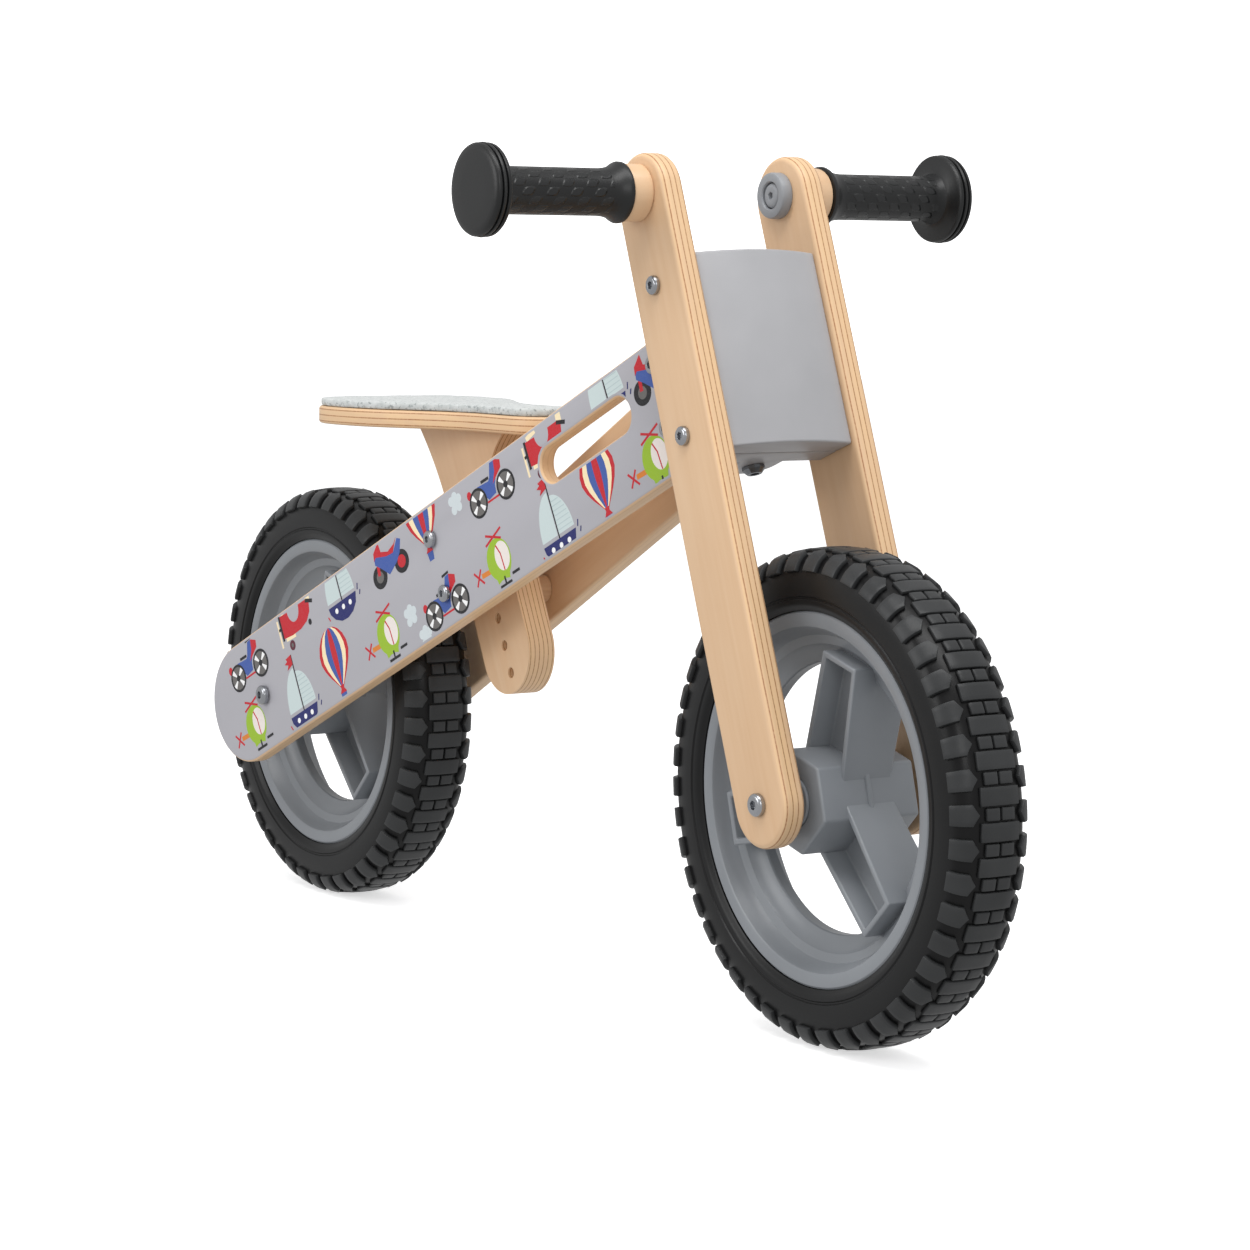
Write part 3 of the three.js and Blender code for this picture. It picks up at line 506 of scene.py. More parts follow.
# %% Felt
def wool_felt(name):
    """Pale felt: crossing fibres, a soft lumpy nap and scattered darker flecks."""
    r = Recipe(name, roughness=0.95, specular=0.2)
    r.shader.inputs["Sheen Weight"].default_value = 0.35
    r.shader.inputs["Sheen Roughness"].default_value = 0.6
    where = r.place()
    fibre_a = r.noise(r.stretch(where, (1400, 260, 900)), 1.0, 3.0, 0.7)
    fibre_b = r.noise(r.stretch(where, (260, 1400, 900)), 1.0, 3.0, 0.7)
    fibre = r.math("MAXIMUM", fibre_a, fibre_b)
    nap = r.noise(where, 190.0, 3.0, 0.6)
    fleck = r.ramp(r.noise(where, 420.0, 2.0, 0.6), 0.56, 0.66)
    colour = r.mix(r.ramp(nap, 0.3, 0.7), tone(182, 187, 186), tone(206, 209, 208))
    colour = r.mix(r.math("MULTIPLY", fleck, 0.75), colour, tone(122, 130, 131))
    fuzz = r.math("ADD", fibre, r.math("MULTIPLY", nap, 1.5))
    return r.wear(colour, None, r.bump(fuzz, 0.5 * MM, 0.8))


felt = wool_felt("wool_felt")
print("felt ready")

# %% [markdown]
# ## Frame panels
# Each panel is one plywood bar, round at the back, with a slot to carry it by. The outline is made
# at full size, extruded to 12 mm, cut through by a slot-shaped block, and rounded with a bevel
# that leaves the laminate flat.

# %% Panel outline
PANEL_LOW, PANEL_HIGH, PANEL_MID, PANEL_R = -38 * MM, 46 * MM, 4 * MM, 42 * MM
PANEL_TAIL, FRONT_LOW, FRONT_HIGH, CORNER = -28.4 * MM, 509.6 * MM, 517.8 * MM, 12 * MM
SLOT_REAR, SLOT_FRONT, SLOT_LIFT, SLOT_R = 377 * MM, 452 * MM, 16.7 * MM, 11.5 * MM
panel_line = corner((FRONT_LOW - CORNER, PANEL_LOW), (FRONT_LOW, PANEL_LOW),
                    (FRONT_LOW + MM, PANEL_LOW + CORNER))
panel_line += corner((FRONT_HIGH - MM, PANEL_HIGH - CORNER), (FRONT_HIGH, PANEL_HIGH),
                     (FRONT_HIGH - CORNER, PANEL_HIGH))
panel_line += arc((PANEL_TAIL, PANEL_MID), PANEL_R, 90, 270, 40)


def slot_outline(radius, steps):
    """The slot's outline, or with a larger radius a line that goes round outside it."""
    return (arc((SLOT_FRONT, SLOT_LIFT), radius, -90, 90, steps)
            + arc((SLOT_REAR, SLOT_LIFT), radius, 90, 270, steps))


slot_line = slot_outline(SLOT_R, 20)
print("panel outline", len(panel_line), "points")

# %% Panels
for word, side in (("right", -1), ("left", 1)):
    inner, outer = sorted((0, -side * BOARD))
    panel = board("panel_" + word, panel_line, inner, outer)
    cutter = board("slot_cutter", slot_line, inner - 5 * MM, outer + 5 * MM)
    cut_by(panel, cutter)
    soften(panel, 3.2 * MM, 5, 50)
    settle(panel, panel_frame(side))
    finish(panel, "frame", "laminate", panel_wood[side], "frame_panel_" + word)
    print(panel.name, len(panel.data.polygons), "faces")

# %% [markdown]
# ## Fork legs and head
# The legs are round-ended boards with a broad soft edge. The head between them is a painted block
# with a swelling front. It is cut in three boards, as its thin joints show.

# %% Fork legs
LEG_HALF, LEG_TOP = 25.5 * MM, 394 * MM
leg_line = arc((0, 0), LEG_HALF, 180, 360, 36) + arc((0, LEG_TOP - LEG_HALF), LEG_HALF, 0, 180, 36)
leg = board("leg_left", leg_line, LEG_IN, LEG_OUT)
soften(leg, 3.6 * MM, 6)
settle(leg, fork_frame)
leg_right = other_side(leg, "leg_right")
smooth(leg_right)
finish(leg, "fork", "birch", fork_wood, "fork_leg_left")
finish(leg_right, "fork", "birch", fork_wood, "fork_leg_right")
print("legs", len(leg.data.polygons), "faces each")

# %% Head
HEAD_HALF, HEAD_LOW, HEAD_HIGH = 43.2 * MM, 206.5 * MM, 326 * MM
SPLIT, FACE, BULGE, HEAD_BACK = 6.3 * MM, 21.5 * MM, 6.5 * MM, -12.5 * MM
STEER_X, TONGUE_R, PLATE, PLATE_LAP = -21 * MM, 16 * MM, 26 * MM, 0.3 * MM
bulge = [(FACE + BULGE * (1 - (y / HEAD_HALF) ** 2), y) for y in
         (HEAD_HALF * (i / 12 - 1) for i in range(25))]
front_line = [(SPLIT, -HEAD_HALF)] + bulge + [(SPLIT, HEAD_HALF)]
front_board = board("head_front", front_line, HEAD_LOW, HEAD_HIGH, "Z")
soften(front_board, 1.4 * MM, 4, 50)
settle(front_board, fork_frame)
finish(front_board, "fork", "grey_paint", grey_paint, "head_front_board")
plate_front = SPLIT - PLATE_LAP
plate_line = [(plate_front, -HEAD_HALF), (plate_front, HEAD_HALF), (HEAD_BACK, HEAD_HALF),
              (HEAD_BACK, TONGUE_R)]
plate_line += arc((STEER_X, 0), TONGUE_R, 90, 270, 24)
plate_line += [(HEAD_BACK, -TONGUE_R), (HEAD_BACK, -HEAD_HALF)]
for word, low in (("bottom", HEAD_LOW), ("top", HEAD_HIGH - PLATE)):
    plate = board("head_" + word, plate_line, low, low + PLATE, "Z")
    soften(plate, 1.2 * MM, 3, 50)
    settle(plate, fork_frame)
    finish(plate, "fork", "grey_paint", grey_paint, f"head_{word}_plate")
print("head boards made")

# %% [markdown]
# ## Neck block
# The wedge that joins the two panels behind the head is bare birch. The CAD solid has the right
# shape, so a copy of it is merged, its flat faces are made whole and its edges are rounded.

# %% Rounded copy of a CAD piece
def rounded_copy(node, name, width, segments=2, flat=5):
    """A copy of a CAD node, without its tags, whose flat faces are made whole and edges rounded."""
    take(frame["nodes"][node])
    bpy.ops.object.duplicate(linked=False)
    piece = name_it(name)
    for key in list(piece.keys()):
        del piece[key]
    piece.parent = None
    piece.matrix_world = Matrix.Identity(4)
    bpy.ops.object.mode_set(mode="EDIT")
    bpy.ops.mesh.select_all(action="SELECT")
    bpy.ops.mesh.remove_doubles(threshold=0.02 * MM)
    bpy.ops.mesh.dissolve_limited(angle_limit=math.radians(flat))
    bpy.ops.object.mode_set(mode="OBJECT")
    return soften(piece, width, segments, 45)


neck = rounded_copy("neck_block", "neck_wedge", 0.8 * MM)
finish(neck, "frame", "birch", neck_wood, "neck_block")
print(neck.name, len(neck.data.polygons), "faces")

# %% [markdown]
# ## Screws and nuts
# Every screw head is the same low dome with a hexagonal socket. A head is turned on the lathe, its
# socket is cut by a six-sided bar, and the copy is stood at each CAD screw. The shanks are hidden
# in the wood, so a short stub is enough.

# %% Screw head
SHANK = 6 * MM
SCREW_R, CUP_SCREW_R, AXLE_R, AXLE_KEY = 5.8 * MM, 7.6 * MM, 6.8 * MM, 2.9 * MM


def screw_head(name, radius, height, key):
    """A domed head on the plane y = 0 that swells towards +Y, with a short shank behind it."""
    dome = [(radius * (0.62 + 0.38 * math.cos(a)), height * (0.45 + 0.55 * math.sin(a)))
            for a in (math.radians(9 * i) for i in range(11))]
    shank = radius * 0.5
    profile = [(0, -SHANK), (shank, -SHANK), (shank, 0), (radius, 0)] + dome + [(0, height)]
    head = turned(name, profile, 48)
    cut_round(head, key, height * 1.3, (0, height, 0), sides=6)
    soften(head, 0.12 * MM, 2, 45)
    return head


def screw_at(node, name, body, radius, side, height=3.4 * MM, key=2.5 * MM, metal=zinc):
    """A screw head whose top is where the CAD screw's top is, on that side of the bike."""
    low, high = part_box(node)
    middle = (low + high) / 2
    face = high.y if side > 0 else low.y
    head = screw_head(name, radius, height, key)
    turn = Matrix.Identity(4) if side > 0 else Matrix.Rotation(math.pi, 4, "Z")
    # Screws never stop at the same angle, so each socket is turned by the length of its name.
    spin = Matrix.Rotation(math.radians(17 * (len(name) % 5)), 4, "Y")
    settle(head, Matrix.Translation((middle.x, face - side * height, middle.z)) @ turn @ spin)
    finish(head, body, "steel", metal, node)


print("screw tools ready")

# %% Screws on both sides
for word, side in (("right", -1), ("left", 1)):
    for level in ("upper", "lower"):
        screw_at(f"leg_bolt_{level}_{word}", f"leg_screw_{level}_{word}", "fork", SCREW_R, side)
    screw_at(f"handlebar_bolt_{word}", f"bar_screw_{word}", "fork", CUP_SCREW_R, -side,
             key=2.4 * MM, metal=cap_plastic)
for level in ("upper", "lower"):
    screw_at(f"seat_bolt_{level}", f"seat_screw_head_{level}", "frame", SCREW_R, -1)
    screw_at(f"seat_nut_{level}", f"seat_sleeve_head_{level}", "frame", SCREW_R, 1)
    screw_at(f"neck_bolt_{level}", f"neck_screw_{level}", "frame", SCREW_R, -1)
    screw_at(f"neck_nut_{level}", f"neck_nut_head_{level}", "frame", SCREW_R, 1, height=4.5 * MM)
for word, body in (("front", "fork"), ("rear", "frame")):
    screw_at(f"{word}_axle_bolt", f"{word}_axle_screw", body, AXLE_R, -1, height=4 * MM, key=AXLE_KEY)
    screw_at(f"{word}_axle_nut", f"{word}_axle_nut_head", body, AXLE_R, 1, height=5 * MM, key=AXLE_KEY)
print("screws made")

# %% [markdown]
# ## Handlebar
# Two turned birch stubs are screwed to the outsides of the legs. A rubber grip slides over each one.
# The grips have a small inner flange, a tube with a wavy texture, and a large end disc that
# protects the hand.

# %% Stubs and cups
BAR = fork_frame @ Matrix.Translation((0, 0, 370.5 * MM))
stub_line = in_mm([(0, 58.6), (16.2, 58.6), (17, 59.4), (17, 70.6), (16.6, 71.6), (15.8, 72), (10.5, 72),
                   (10.5, 165), (0, 166)])
stub = turned("bar_stub_left", stub_line, 72, BAR)
stub_right = smooth(other_side(stub, "bar_stub_right"))
cup_line = in_mm([(3.4, 43.2), (3.4, 40.7), (8.2, 40.7), (8.2, 37.2), (8.8, 36.5), (12.4, 36.2),
                  (13.5, 36.7), (14, 38.0), (14, 43.2)])
cup = turned("bar_cup_left", cup_line, 72, BAR)
cup_right = smooth(other_side(cup, "bar_cup_right"))
for word, made, round_cup in (("left", stub, cup), ("right", stub_right, cup_right)):
    finish(made, "fork", "birch", bar_wood, "handlebar_stub_" + word)
    finish(round_cup, "fork", "plastic", cap_plastic, "handlebar_cap_" + word)
print("stubs and cups made")

# %% Grip rubber with waves
TUBE_R, TUBE_END = 14.3 * MM, 157 * MM


def grip_finish(name, at, turn):
    """Black rubber whose tube carries rows of leaf-shaped waves, raised by a bump and painted paler than the
    hollows: painted light and shade.
    """
    r = Recipe(name, roughness=0.5, specular=0.45)
    local = r.place(at, turn)
    parts = r.split(local)
    around = r.math("MULTIPLY", r.math("ARCTAN2", parts[2], parts[0]), 8.0)
    along = r.math("MULTIPLY", r.math("ABSOLUTE", parts[1]), 380.0)
    slanted = r.math("ADD", along, r.math("MULTIPLY", around, 0.35))
    leaf = r.math("MULTIPLY", r.math("COSINE", around), r.math("COSINE", slanted))
    out = r.math("SQRT", r.math("ADD", r.math("POWER", parts[0], 2.0), r.math("POWER", parts[2], 2.0)))
    on_tube = r.math("MULTIPLY", r.math("LESS_THAN", out, TUBE_R),
                     r.math("LESS_THAN", r.math("ABSOLUTE", parts[1]), TUBE_END))
    ridge = r.math("MULTIPLY", r.ramp(leaf, 0.05, 0.4), on_tube)
    fine = r.noise(local, 1600.0, 2.0)
    # Painted light and shade: the raised waves are painted paler, and the hollows between them darker.
    colour = r.mix(ridge, tone(17, 18, 19), tone(27, 28, 29))
    under = r.bump(fine, 0.05 * MM, 0.5)
    return r.wear(colour, r.ramp(ridge, 0, 1, 0.4, 0.3), r.bump(ridge, 0.6 * MM, 0.9, under))


grip_wave = grip_finish("grip_rubber", BAR.translation, (0, -RAKE, 0))
print("grip rubber ready")

# %% Grips
grip_line = [(10.6, 72.3), (17.2, 72.3), (18.1, 72.9), (18.2, 74.6), (17.6, 75.9), (16.4, 77.6),
             (15.2, 80.2), (14.4, 83.6), (14.0, 88.0), (14.0, 153.0), (14.5, 157.0), (15.8, 159.8),
             (18.4, 161.2), (24.6, 161.5), (26.2, 161.8), (26.9, 162.6), (27.1, 163.6), (26.9, 164.5),
             (25.6, 164.9), (25.6, 165.6), (27.1, 166.0), (27.4, 166.9), (27.1, 167.8), (25.8, 168.2),
             (25.8, 168.9), (26.9, 169.2), (27.0, 170.2), (26.4, 171.3), (25.0, 172.2), (22.0, 172.6),
             (12.0, 172.8), (0, 172.8), (0, 166.3), (10.6, 166.3)]
grip = turned("grip_left_rubber", in_mm(grip_line), 96, BAR)
grip_right = smooth(other_side(grip, "grip_right_rubber"))
finish(grip, "fork", "rubber", grip_wave, "grip_left")
finish(grip_right, "fork", "rubber", grip_wave, "grip_right")
print("grips made")

# %% [markdown]
# ## Seat
# The post is a thick board that slides between the panels and spreads out under the seat. Its row of
# holes sets the height. The seat board is wide behind and narrow in front, and a sheet of wool felt
# covers it.

# %% Seat post
def bezier(p0, p1, p2, p3, steps=12):
    """A cubic curve from p0 almost to p3, drawn towards p1 and then p2."""
    points = [Vector(p) for p in (p0, p1, p2, p3)]
    line = []
    for i in range(steps):
        t = i / steps
        weights = ((1 - t) ** 3, 3 * t * (1 - t) ** 2, 3 * t * t * (1 - t), t ** 3)
        line.append(tuple(sum((w * p for w, p in zip(weights, points)), Vector((0, 0)))))
    return line


POST_X, POST_HALF, POST_FOOT = 235.6 * MM, 29 * MM, -57 * MM
HOLES, HOLE_R, TOP_HOLE, HOLE_PITCH = 6, 3.6 * MM, 23.2 * MM, 19.2 * MM
NOSE_OUT, TAIL_OUT = 29 * MM, 12 * MM
top_z = seat_low.z - 0.3 * MM


def post_top(along):
    """How far up the slanted frame the seat's underside is, at a place along it."""
    return (top_z - REAR.z - along * math.sin(SLOPE)) / math.cos(SLOPE)


nose, tail = POST_X + POST_HALF, POST_X - POST_HALF
post_line = arc((POST_X, POST_FOOT), POST_HALF, 180, 360, 36)
post_line += corner((nose, 50 * MM), (nose + 2 * MM, 66 * MM),
                    (nose + NOSE_OUT, post_top(nose + NOSE_OUT)), 12)
post_line += corner((tail - TAIL_OUT, post_top(tail - TAIL_OUT)), (tail, 84 * MM), (tail, 50 * MM), 12)
post = board("seat_post_board", post_line, -POST_THICK / 2, POST_THICK / 2)
for i in range(HOLES):
    cut_round(post, HOLE_R, 1.5 * POST_THICK, (POST_X, 0, TOP_HOLE - HOLE_PITCH * i))
soften(post, 1.8 * MM, 4, 50)
settle(post, side_frame)
finish(post, "seat", "birch", post_wood, "seat_post")
print("post", len(post.data.polygons), "faces")

# %% Seat board
def seat_line(inset):
    """The seat's outline, drawn in by the inset: half of it, its round nose, and the half mirrored."""
    rear, tip = seat_low.x + inset, seat_high.x - inset
    wide, slim = 62 * MM - inset, 24 * MM - inset
    widest, narrow = rear + 50 * MM, rear + 190 * MM
    bend = (narrow - widest) / 2
    line = bezier((rear, 0), (rear, -wide * 0.75), (rear + 14 * MM, -wide), (widest, -wide), 16)
    line += bezier((widest, -wide), (widest + bend, -wide), (narrow - bend, -slim), (narrow, -slim), 20)
    line += arc((tip - slim, 0), slim, -90, 90, 28)
    mirrored = [(x, -y) for x, y in reversed(line[1:45])]
    return line[:-1] + [(tip - slim, slim)] + [p for p in mirrored if p[0] < tip - slim - 0.1 * MM]


seat = board("seat_plywood", seat_line(0), seat_low.z, seat_high.z, "Z")
soften(seat, 2.2 * MM, 4, 50)
finish(seat, "seat", "birch", seat_wood, "seat_board", "seat_screw_rear", "seat_screw_front")
print("seat board", len(seat.data.polygons), "faces")

# %% [markdown]
# Felt isn't stuffed, but it isn't a hard slab either: its cut edge rounds over and its top is never quite
# level. A fine remesh turns the blank into an even skin, smoothing rounds the edges, and a low
# cloud pattern raises and sinks the top by a few tenths of a millimetre.

# %% Felt pad
pad_low, pad_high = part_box("seat_pad")
pad = board("seat_felt", seat_line(1.2 * MM), pad_low.z, pad_high.z, "Z")
modify(pad, "REMESH", mode="VOXEL", voxel_size=1.5 * MM)
modify(pad, "SMOOTH", factor=0.5, iterations=3)
clouds = bpy.data.textures.new("felt_clouds", "CLOUDS")
clouds.noise_scale = 18 * MM
modify(pad, "DISPLACE", texture=clouds, strength=0.7 * MM, mid_level=0.5, texture_coords="LOCAL")
take(pad)
bpy.ops.object.shade_smooth()
finish(pad, "seat", "felt", felt, "seat_pad")
print("felt", len(pad.data.polygons), "faces")

# %% [markdown]
# ## Printed pictures
# The laminate is printed with small toy vehicles. Each picture is a stack of flat shapes in flat inks,
# so it's drawn the same way: outlines in millimetres, laid one over another a few hundredths of a
# millimetre apart. No image is needed, and the print stays sharp however close the camera comes.
# There are hundreds of shapes and most are cut to the panel's edge, so their corners are worked out
# in code and put straight into one mesh with bmesh, where operators would need a call for each.

# %% Inks
INKS = {"red": (194, 26, 40), "blue": (62, 90, 164), "navy": (27, 33, 102), "cream": (248, 229, 188),
        "lime": (152, 188, 40), "glass": (236, 227, 221), "sail": (200, 214, 214), "fold": (181, 198, 200),
        "orange": (216, 126, 42), "black": (22, 22, 25), "cloud": (206, 215, 218), "spoke": (104, 101, 99),
        "white": (246, 246, 246), "plum": (92, 30, 48)}
ink_order = list(INKS)
ink_finishes = []
for ink_name, ink_tone in INKS.items():
    r = Recipe("ink_" + ink_name, roughness=0.42, specular=0.3)
    speck = r.noise(r.stretch(r.place(), (1100, 1100, 1100)), 1.0, 2.0)
    thin = r.mix(0.06, tone(*ink_tone), tone(173, 172, 178))
    colour = r.mix(r.ramp(speck, 0.35, 0.7), tone(*ink_tone), thin)
    ink_finishes.append(r.wear(colour, r.ramp(speck, 0.2, 0.8, 0.36, 0.46), r.bump(speck, 0.02 * MM, 0.3)))
print("inks", len(ink_finishes))

# %% Drawing tools
def oval(u, v, wide, tall=None, start=0, end=360, steps=26):
    """An oval, or with a start and an end a slice of one that reaches its middle."""
    tall = wide if tall is None else tall
    turns = [math.radians(start + (end - start) * i / steps) for i in range(steps + (end - start < 360))]
    rim_points = [(u + wide * math.cos(t), v + tall * math.sin(t)) for t in turns]
    return rim_points + ([(u, v)] if end - start < 360 else [])


def stroke(u0, v0, u1, v1, width):
    """A straight line of a given width."""
    long = math.hypot(u1 - u0, v1 - v0)
    du, dv = (u1 - u0) / long * width / 2, (v1 - v0) / long * width / 2
    return [(u0 + dv, v0 - du), (u1 + dv, v1 - du), (u1 - dv, v1 + du), (u0 - dv, v0 + du)]


def pairs(points):
    """Each corner of an outline with the next one, round to the start."""
    return list(zip(points, points[1:] + points[:1]))


print("drawing tools ready")

# %% Wheeled toys
def wheel(u, v, r):
    """A spoked wheel: a tyre, a grey disc, four pale gaps and a hub."""
    shapes = [("black", oval(u, v, r)), ("spoke", oval(u, v, r * 0.82))]
    shapes += [("white", oval(u, v, r * 0.82, start=a, end=a + 26, steps=4)) for a in (25, 120, 205, 300)]
    return shapes + [("black", oval(u, v, r * 0.24, steps=12))]


def motorbike():
    body = [(-14, 7.5), (-8, 7), (-1, 6.5), (1, 8), (2.5, 11.4), (5, 17), (9.5, 17.5), (13, 14), (9, 8),
            (5, 2), (4.1, -3.5), (-4.6, -5), (-9, 0)]
    shapes = [("red", oval(-24.3, 5.5, 2.6, 3)), ("red", stroke(-7, -6, 8, -6, 1.4)), ("blue", body),
              ("red", [(9.5, 17.5), (16.2, 14.6), (15.1, 9.8), (9, 6.5), (3.1, 3), (8, 10)]),
              ("black", stroke(2, 18, 10, 18.8, 1.7)), ("black", stroke(-9, 8.8, 0, 8.6, 2))]
    return shapes + wheel(-16.5, -2.5, 10) + wheel(15.8, -2.5, 10)


def scooter():
    return [("black", oval(-11.3, -4, 8)), ("spoke", oval(-11.3, -4, 4)),
            ("red", stroke(-11.5, -3, -10.5, 6, 3)),
            ("black", oval(14.7, -3.2, 8)), ("red", oval(14.7, -3.2, 4.4)),
            ("blue", [(-13.5, 5.4), (-12.4, 11.1), (-0.5, 6.9), (8.7, 6.1), (15.5, 13), (19, 11), (15, 3),
                      (9.9, -1.6), (-0.6, -6.4), (-8, 1)]),
            ("red", [(-13.5, 8), (-12.4, 13.3), (-5.2, 18.5), (-4.4, 11.4), (3, 8.6), (11, 10.8), (14.5, 14),
                     (8, 5.6), (0, 6.4), (-11, 10)])]


print("wheeled toys", len(motorbike()), len(scooter()), "shapes")

# %% Flying toys
def helicopter():
    return [("orange", stroke(-9, -4, -20, -3.5, 3.4)), ("red", stroke(-27, 1.5, -19, -8.5, 1.5)),
            ("red", stroke(-26.5, -8, -19.5, 1.5, 1.5)), ("lime", oval(0, 0, 12, 14)),
            ("lime", [(-7, -10), (-6, -15), (0, -13), (6, -15), (7.5, -10)]),
            ("glass", oval(3.8, 1, 7.2, 9.8)),
            ("red", [(-0.5, 9.3), (0.6, 9.6), (3.2, 3), (3.6, -8.6), (2.6, -8.6), (2.2, 2.8)]),
            ("red", stroke(-9, 12.5, 9, 18.5, 1.5)), ("red", stroke(-7, 19, 7, 12, 1.5)),
            ("black", stroke(1, -12, 1, -17, 1.4)), ("black", stroke(-5, -17.5, 7, -17.5, 1.8)),
            ("black", stroke(9, -13.5, 16.5, -13.5, 1.8))]


# The balloon's height and half width, from its crown down, and where its seven gores meet.
BALLOON = [(19, 0.6), (18, 5), (15, 9.2), (10, 12.9), (4, 15), (-2, 15), (-8, 12.7), (-14, 9), (-19, 5.2),
           (-23.5, 1.8)]
GORES = (-1, -0.8, -0.52, -0.18, 0.18, 0.52, 0.8, 1)


def balloon():
    shapes = [("blue", [(-3, -27.5), (3, -27.5), (2.3, -34), (-2.3, -34)])]
    for shade, a, b in zip(("red", "cream", "blue", "red", "blue", "cream", "red"), GORES, GORES[1:]):
        down = [(w * a, v) for v, w in BALLOON]
        back = [(w * b, v) for v, w in reversed(BALLOON)]
        shapes.append((shade, down + back))
    neck_band = [(-1.9, -22.5), (1.9, -22.5), (1.5, -25), (3.4, -28), (-3.4, -28), (-1.5, -25)]
    return shapes + [("red", neck_band)]


def biplane():
    bite = [(1.9 - 6.7 * math.cos(t), 8.4 - 9.4 * math.sin(t)) for t in (math.pi * i / 12 for i in range(13))]
    body = [(-14, -7.5), (-14, 8.8)] + bite
    body += [(17, 8.3), (20.5, 5), (19, -1), (14, -6), (6, -8.5), (-4, -8.8)]
    return [("cream", stroke(-17.5, 7, -17.5, -13, 1.7)), ("cream", stroke(-12, -9, -1, -9.6, 3)),
            ("cream", [(17, 7), (22, 7), (22.5, 15), (18, 15)]), ("cream", stroke(-12, 10, -3, 12, 3.4)),
            ("red", body[::-1]), ("black", stroke(-14.6, 9.5, -14.6, -9, 1.9)),
            ("black", stroke(-17.5, 0, -14, 0, 2)),
            ("black", stroke(17, 7.6, 24.5, 4.5, 2.6)), ("plum", oval(-7, -15, 3, 3.6)),
            ("spoke", oval(-7, -15, 1.2, 1.5)), ("black", oval(17, -8, 1.7, 2.2))]


def cloud():
    puffs = [(0, 0, 4.6), (-4.2, 2.6, 3.2), (0.5, 4.4, 3.2), (4.4, 1.8, 3.2), (3.2, -3.4, 3.2),
             (-2.8, -3.8, 3.2)]
    return [("cloud", oval(*puff, steps=16)) for puff in puffs]


print("flying toys", len(helicopter()), len(balloon()), len(biplane()), "shapes")

# %% Sailing toy
SEAMS, SEAM_STEP, SAIL_FOOT, SAIL_WIDE, SAIL_TALL = 7, 3.2, 2.5, 14, 26


def boat():
    """A boat with two sails. Each seam of the front sail runs from the mast to the sail's curved edge."""
    hull = [(-15, 0), (-14.2, -4.5), (-10.5, -9.5), (-4.5, -13), (2, -13.5), (8, -11.5), (12.8, -7), (15, 0)]
    shapes = [("sail", oval(-1, SAIL_FOOT, SAIL_WIDE, 29, 90, 180)),
              ("sail", oval(0.4, SAIL_FOOT, SAIL_WIDE, SAIL_TALL, 0, 90))]
    for i in range(SEAMS):
        rise = 2.6 + SEAM_STEP * i
        reach = (SAIL_WIDE - 0.6) * math.sqrt(1 - (rise / SAIL_TALL) ** 2)
        seam = 5 + SEAM_STEP * i
        shapes.append(("fold", stroke(0.8, seam, reach, seam, 0.6)))
    shapes += [("black", stroke(0, -1, 0, 41, 0.9)), ("navy", hull),
               ("red", [(0, 41), (0, 34), (-6.5, 32), (-4.5, 35), (-8, 36.8), (-4.8, 38.2), (-6, 40)])]
    shapes += [("white", oval(place, -4.6, 1.6, 1.9, steps=12)) for place in (-7.5, 0, 7.5)]
    return shapes + [("navy", stroke(17, 0, 18.4, 4, 0.7)), ("navy", stroke(18.2, -4, 19.6, -1, 0.7)),
                     ("red", stroke(-16, -8, -17.2, -5, 0.7))]


print("boat", len(boat()), "shapes")

# %% Cutting shapes to the panel
def keep_left(points, a, b):
    """The part of a shape that lies to the left of the line from a to b."""
    def side(p):
        return (b[0] - a[0]) * (p[1] - a[1]) - (b[1] - a[1]) * (p[0] - a[0])
    kept = []
    for p, q in pairs(points):
        here, there = side(p), side(q)
        if here >= 0:
            kept.append(p)
        if here * there < 0:
            share = here / (here - there)
            kept.append((p[0] + (q[0] - p[0]) * share, p[1] + (q[1] - p[1]) * share))
    return kept


def outside(points, hole):
    """The parts of a shape that lie outside a hole with no hollows."""
    us, vs = [p[0] for p in points], [p[1] for p in points]
    hole_u, hole_v = [p[0] for p in hole], [p[1] for p in hole]
    if max(us) < min(hole_u) or min(us) > max(hole_u) or max(vs) < min(hole_v) or min(vs) > max(hole_v):
        return [points]
    parts, rest = [], points
    for a, b in pairs(hole):
        parts.append(keep_left(rest, b, a))
        rest = keep_left(rest, a, b)
    return parts


MARGIN = 2.8
print_line = [(509 - MARGIN, -38 + MARGIN), (517.2 - MARGIN, 46 - MARGIN)]
print_line += [(u / MM, v / MM) for u, v in arc((PANEL_TAIL, PANEL_MID), PANEL_R - MARGIN * MM, 90, 270, 24)]
slot_edge = [(u / MM, v / MM) for u, v in slot_outline(SLOT_R + MARGIN * MM, 8)]
print("print area", len(print_line), "corners")

# %% Where the toys go
TOYS = [(motorbike, -11, 25), (helicopter, -20, -15), (boat, 43, -27), (biplane, 57, 34), (balloon, 95, -5),
        (boat, 120, 25), (helicopter, 162, -16), (scooter, 182, 26), (cloud, 192, -14), (motorbike, 234, -22),
        (balloon, 231, 44), (cloud, 203, -33), (cloud, 271, 34), (helicopter, 300, -17),
        (motorbike, 311.5, 26.5), (boat, 365.5, -29), (biplane, 373, 30.8), (balloon, 418, -7),
        (boat, 447, 28), (helicopter, 475, -21), (scooter, 492, 24)]
WIDER = {boat: 1.2, balloon: 1.2, biplane: 1.15, helicopter: 1.1, scooter: 1.08}


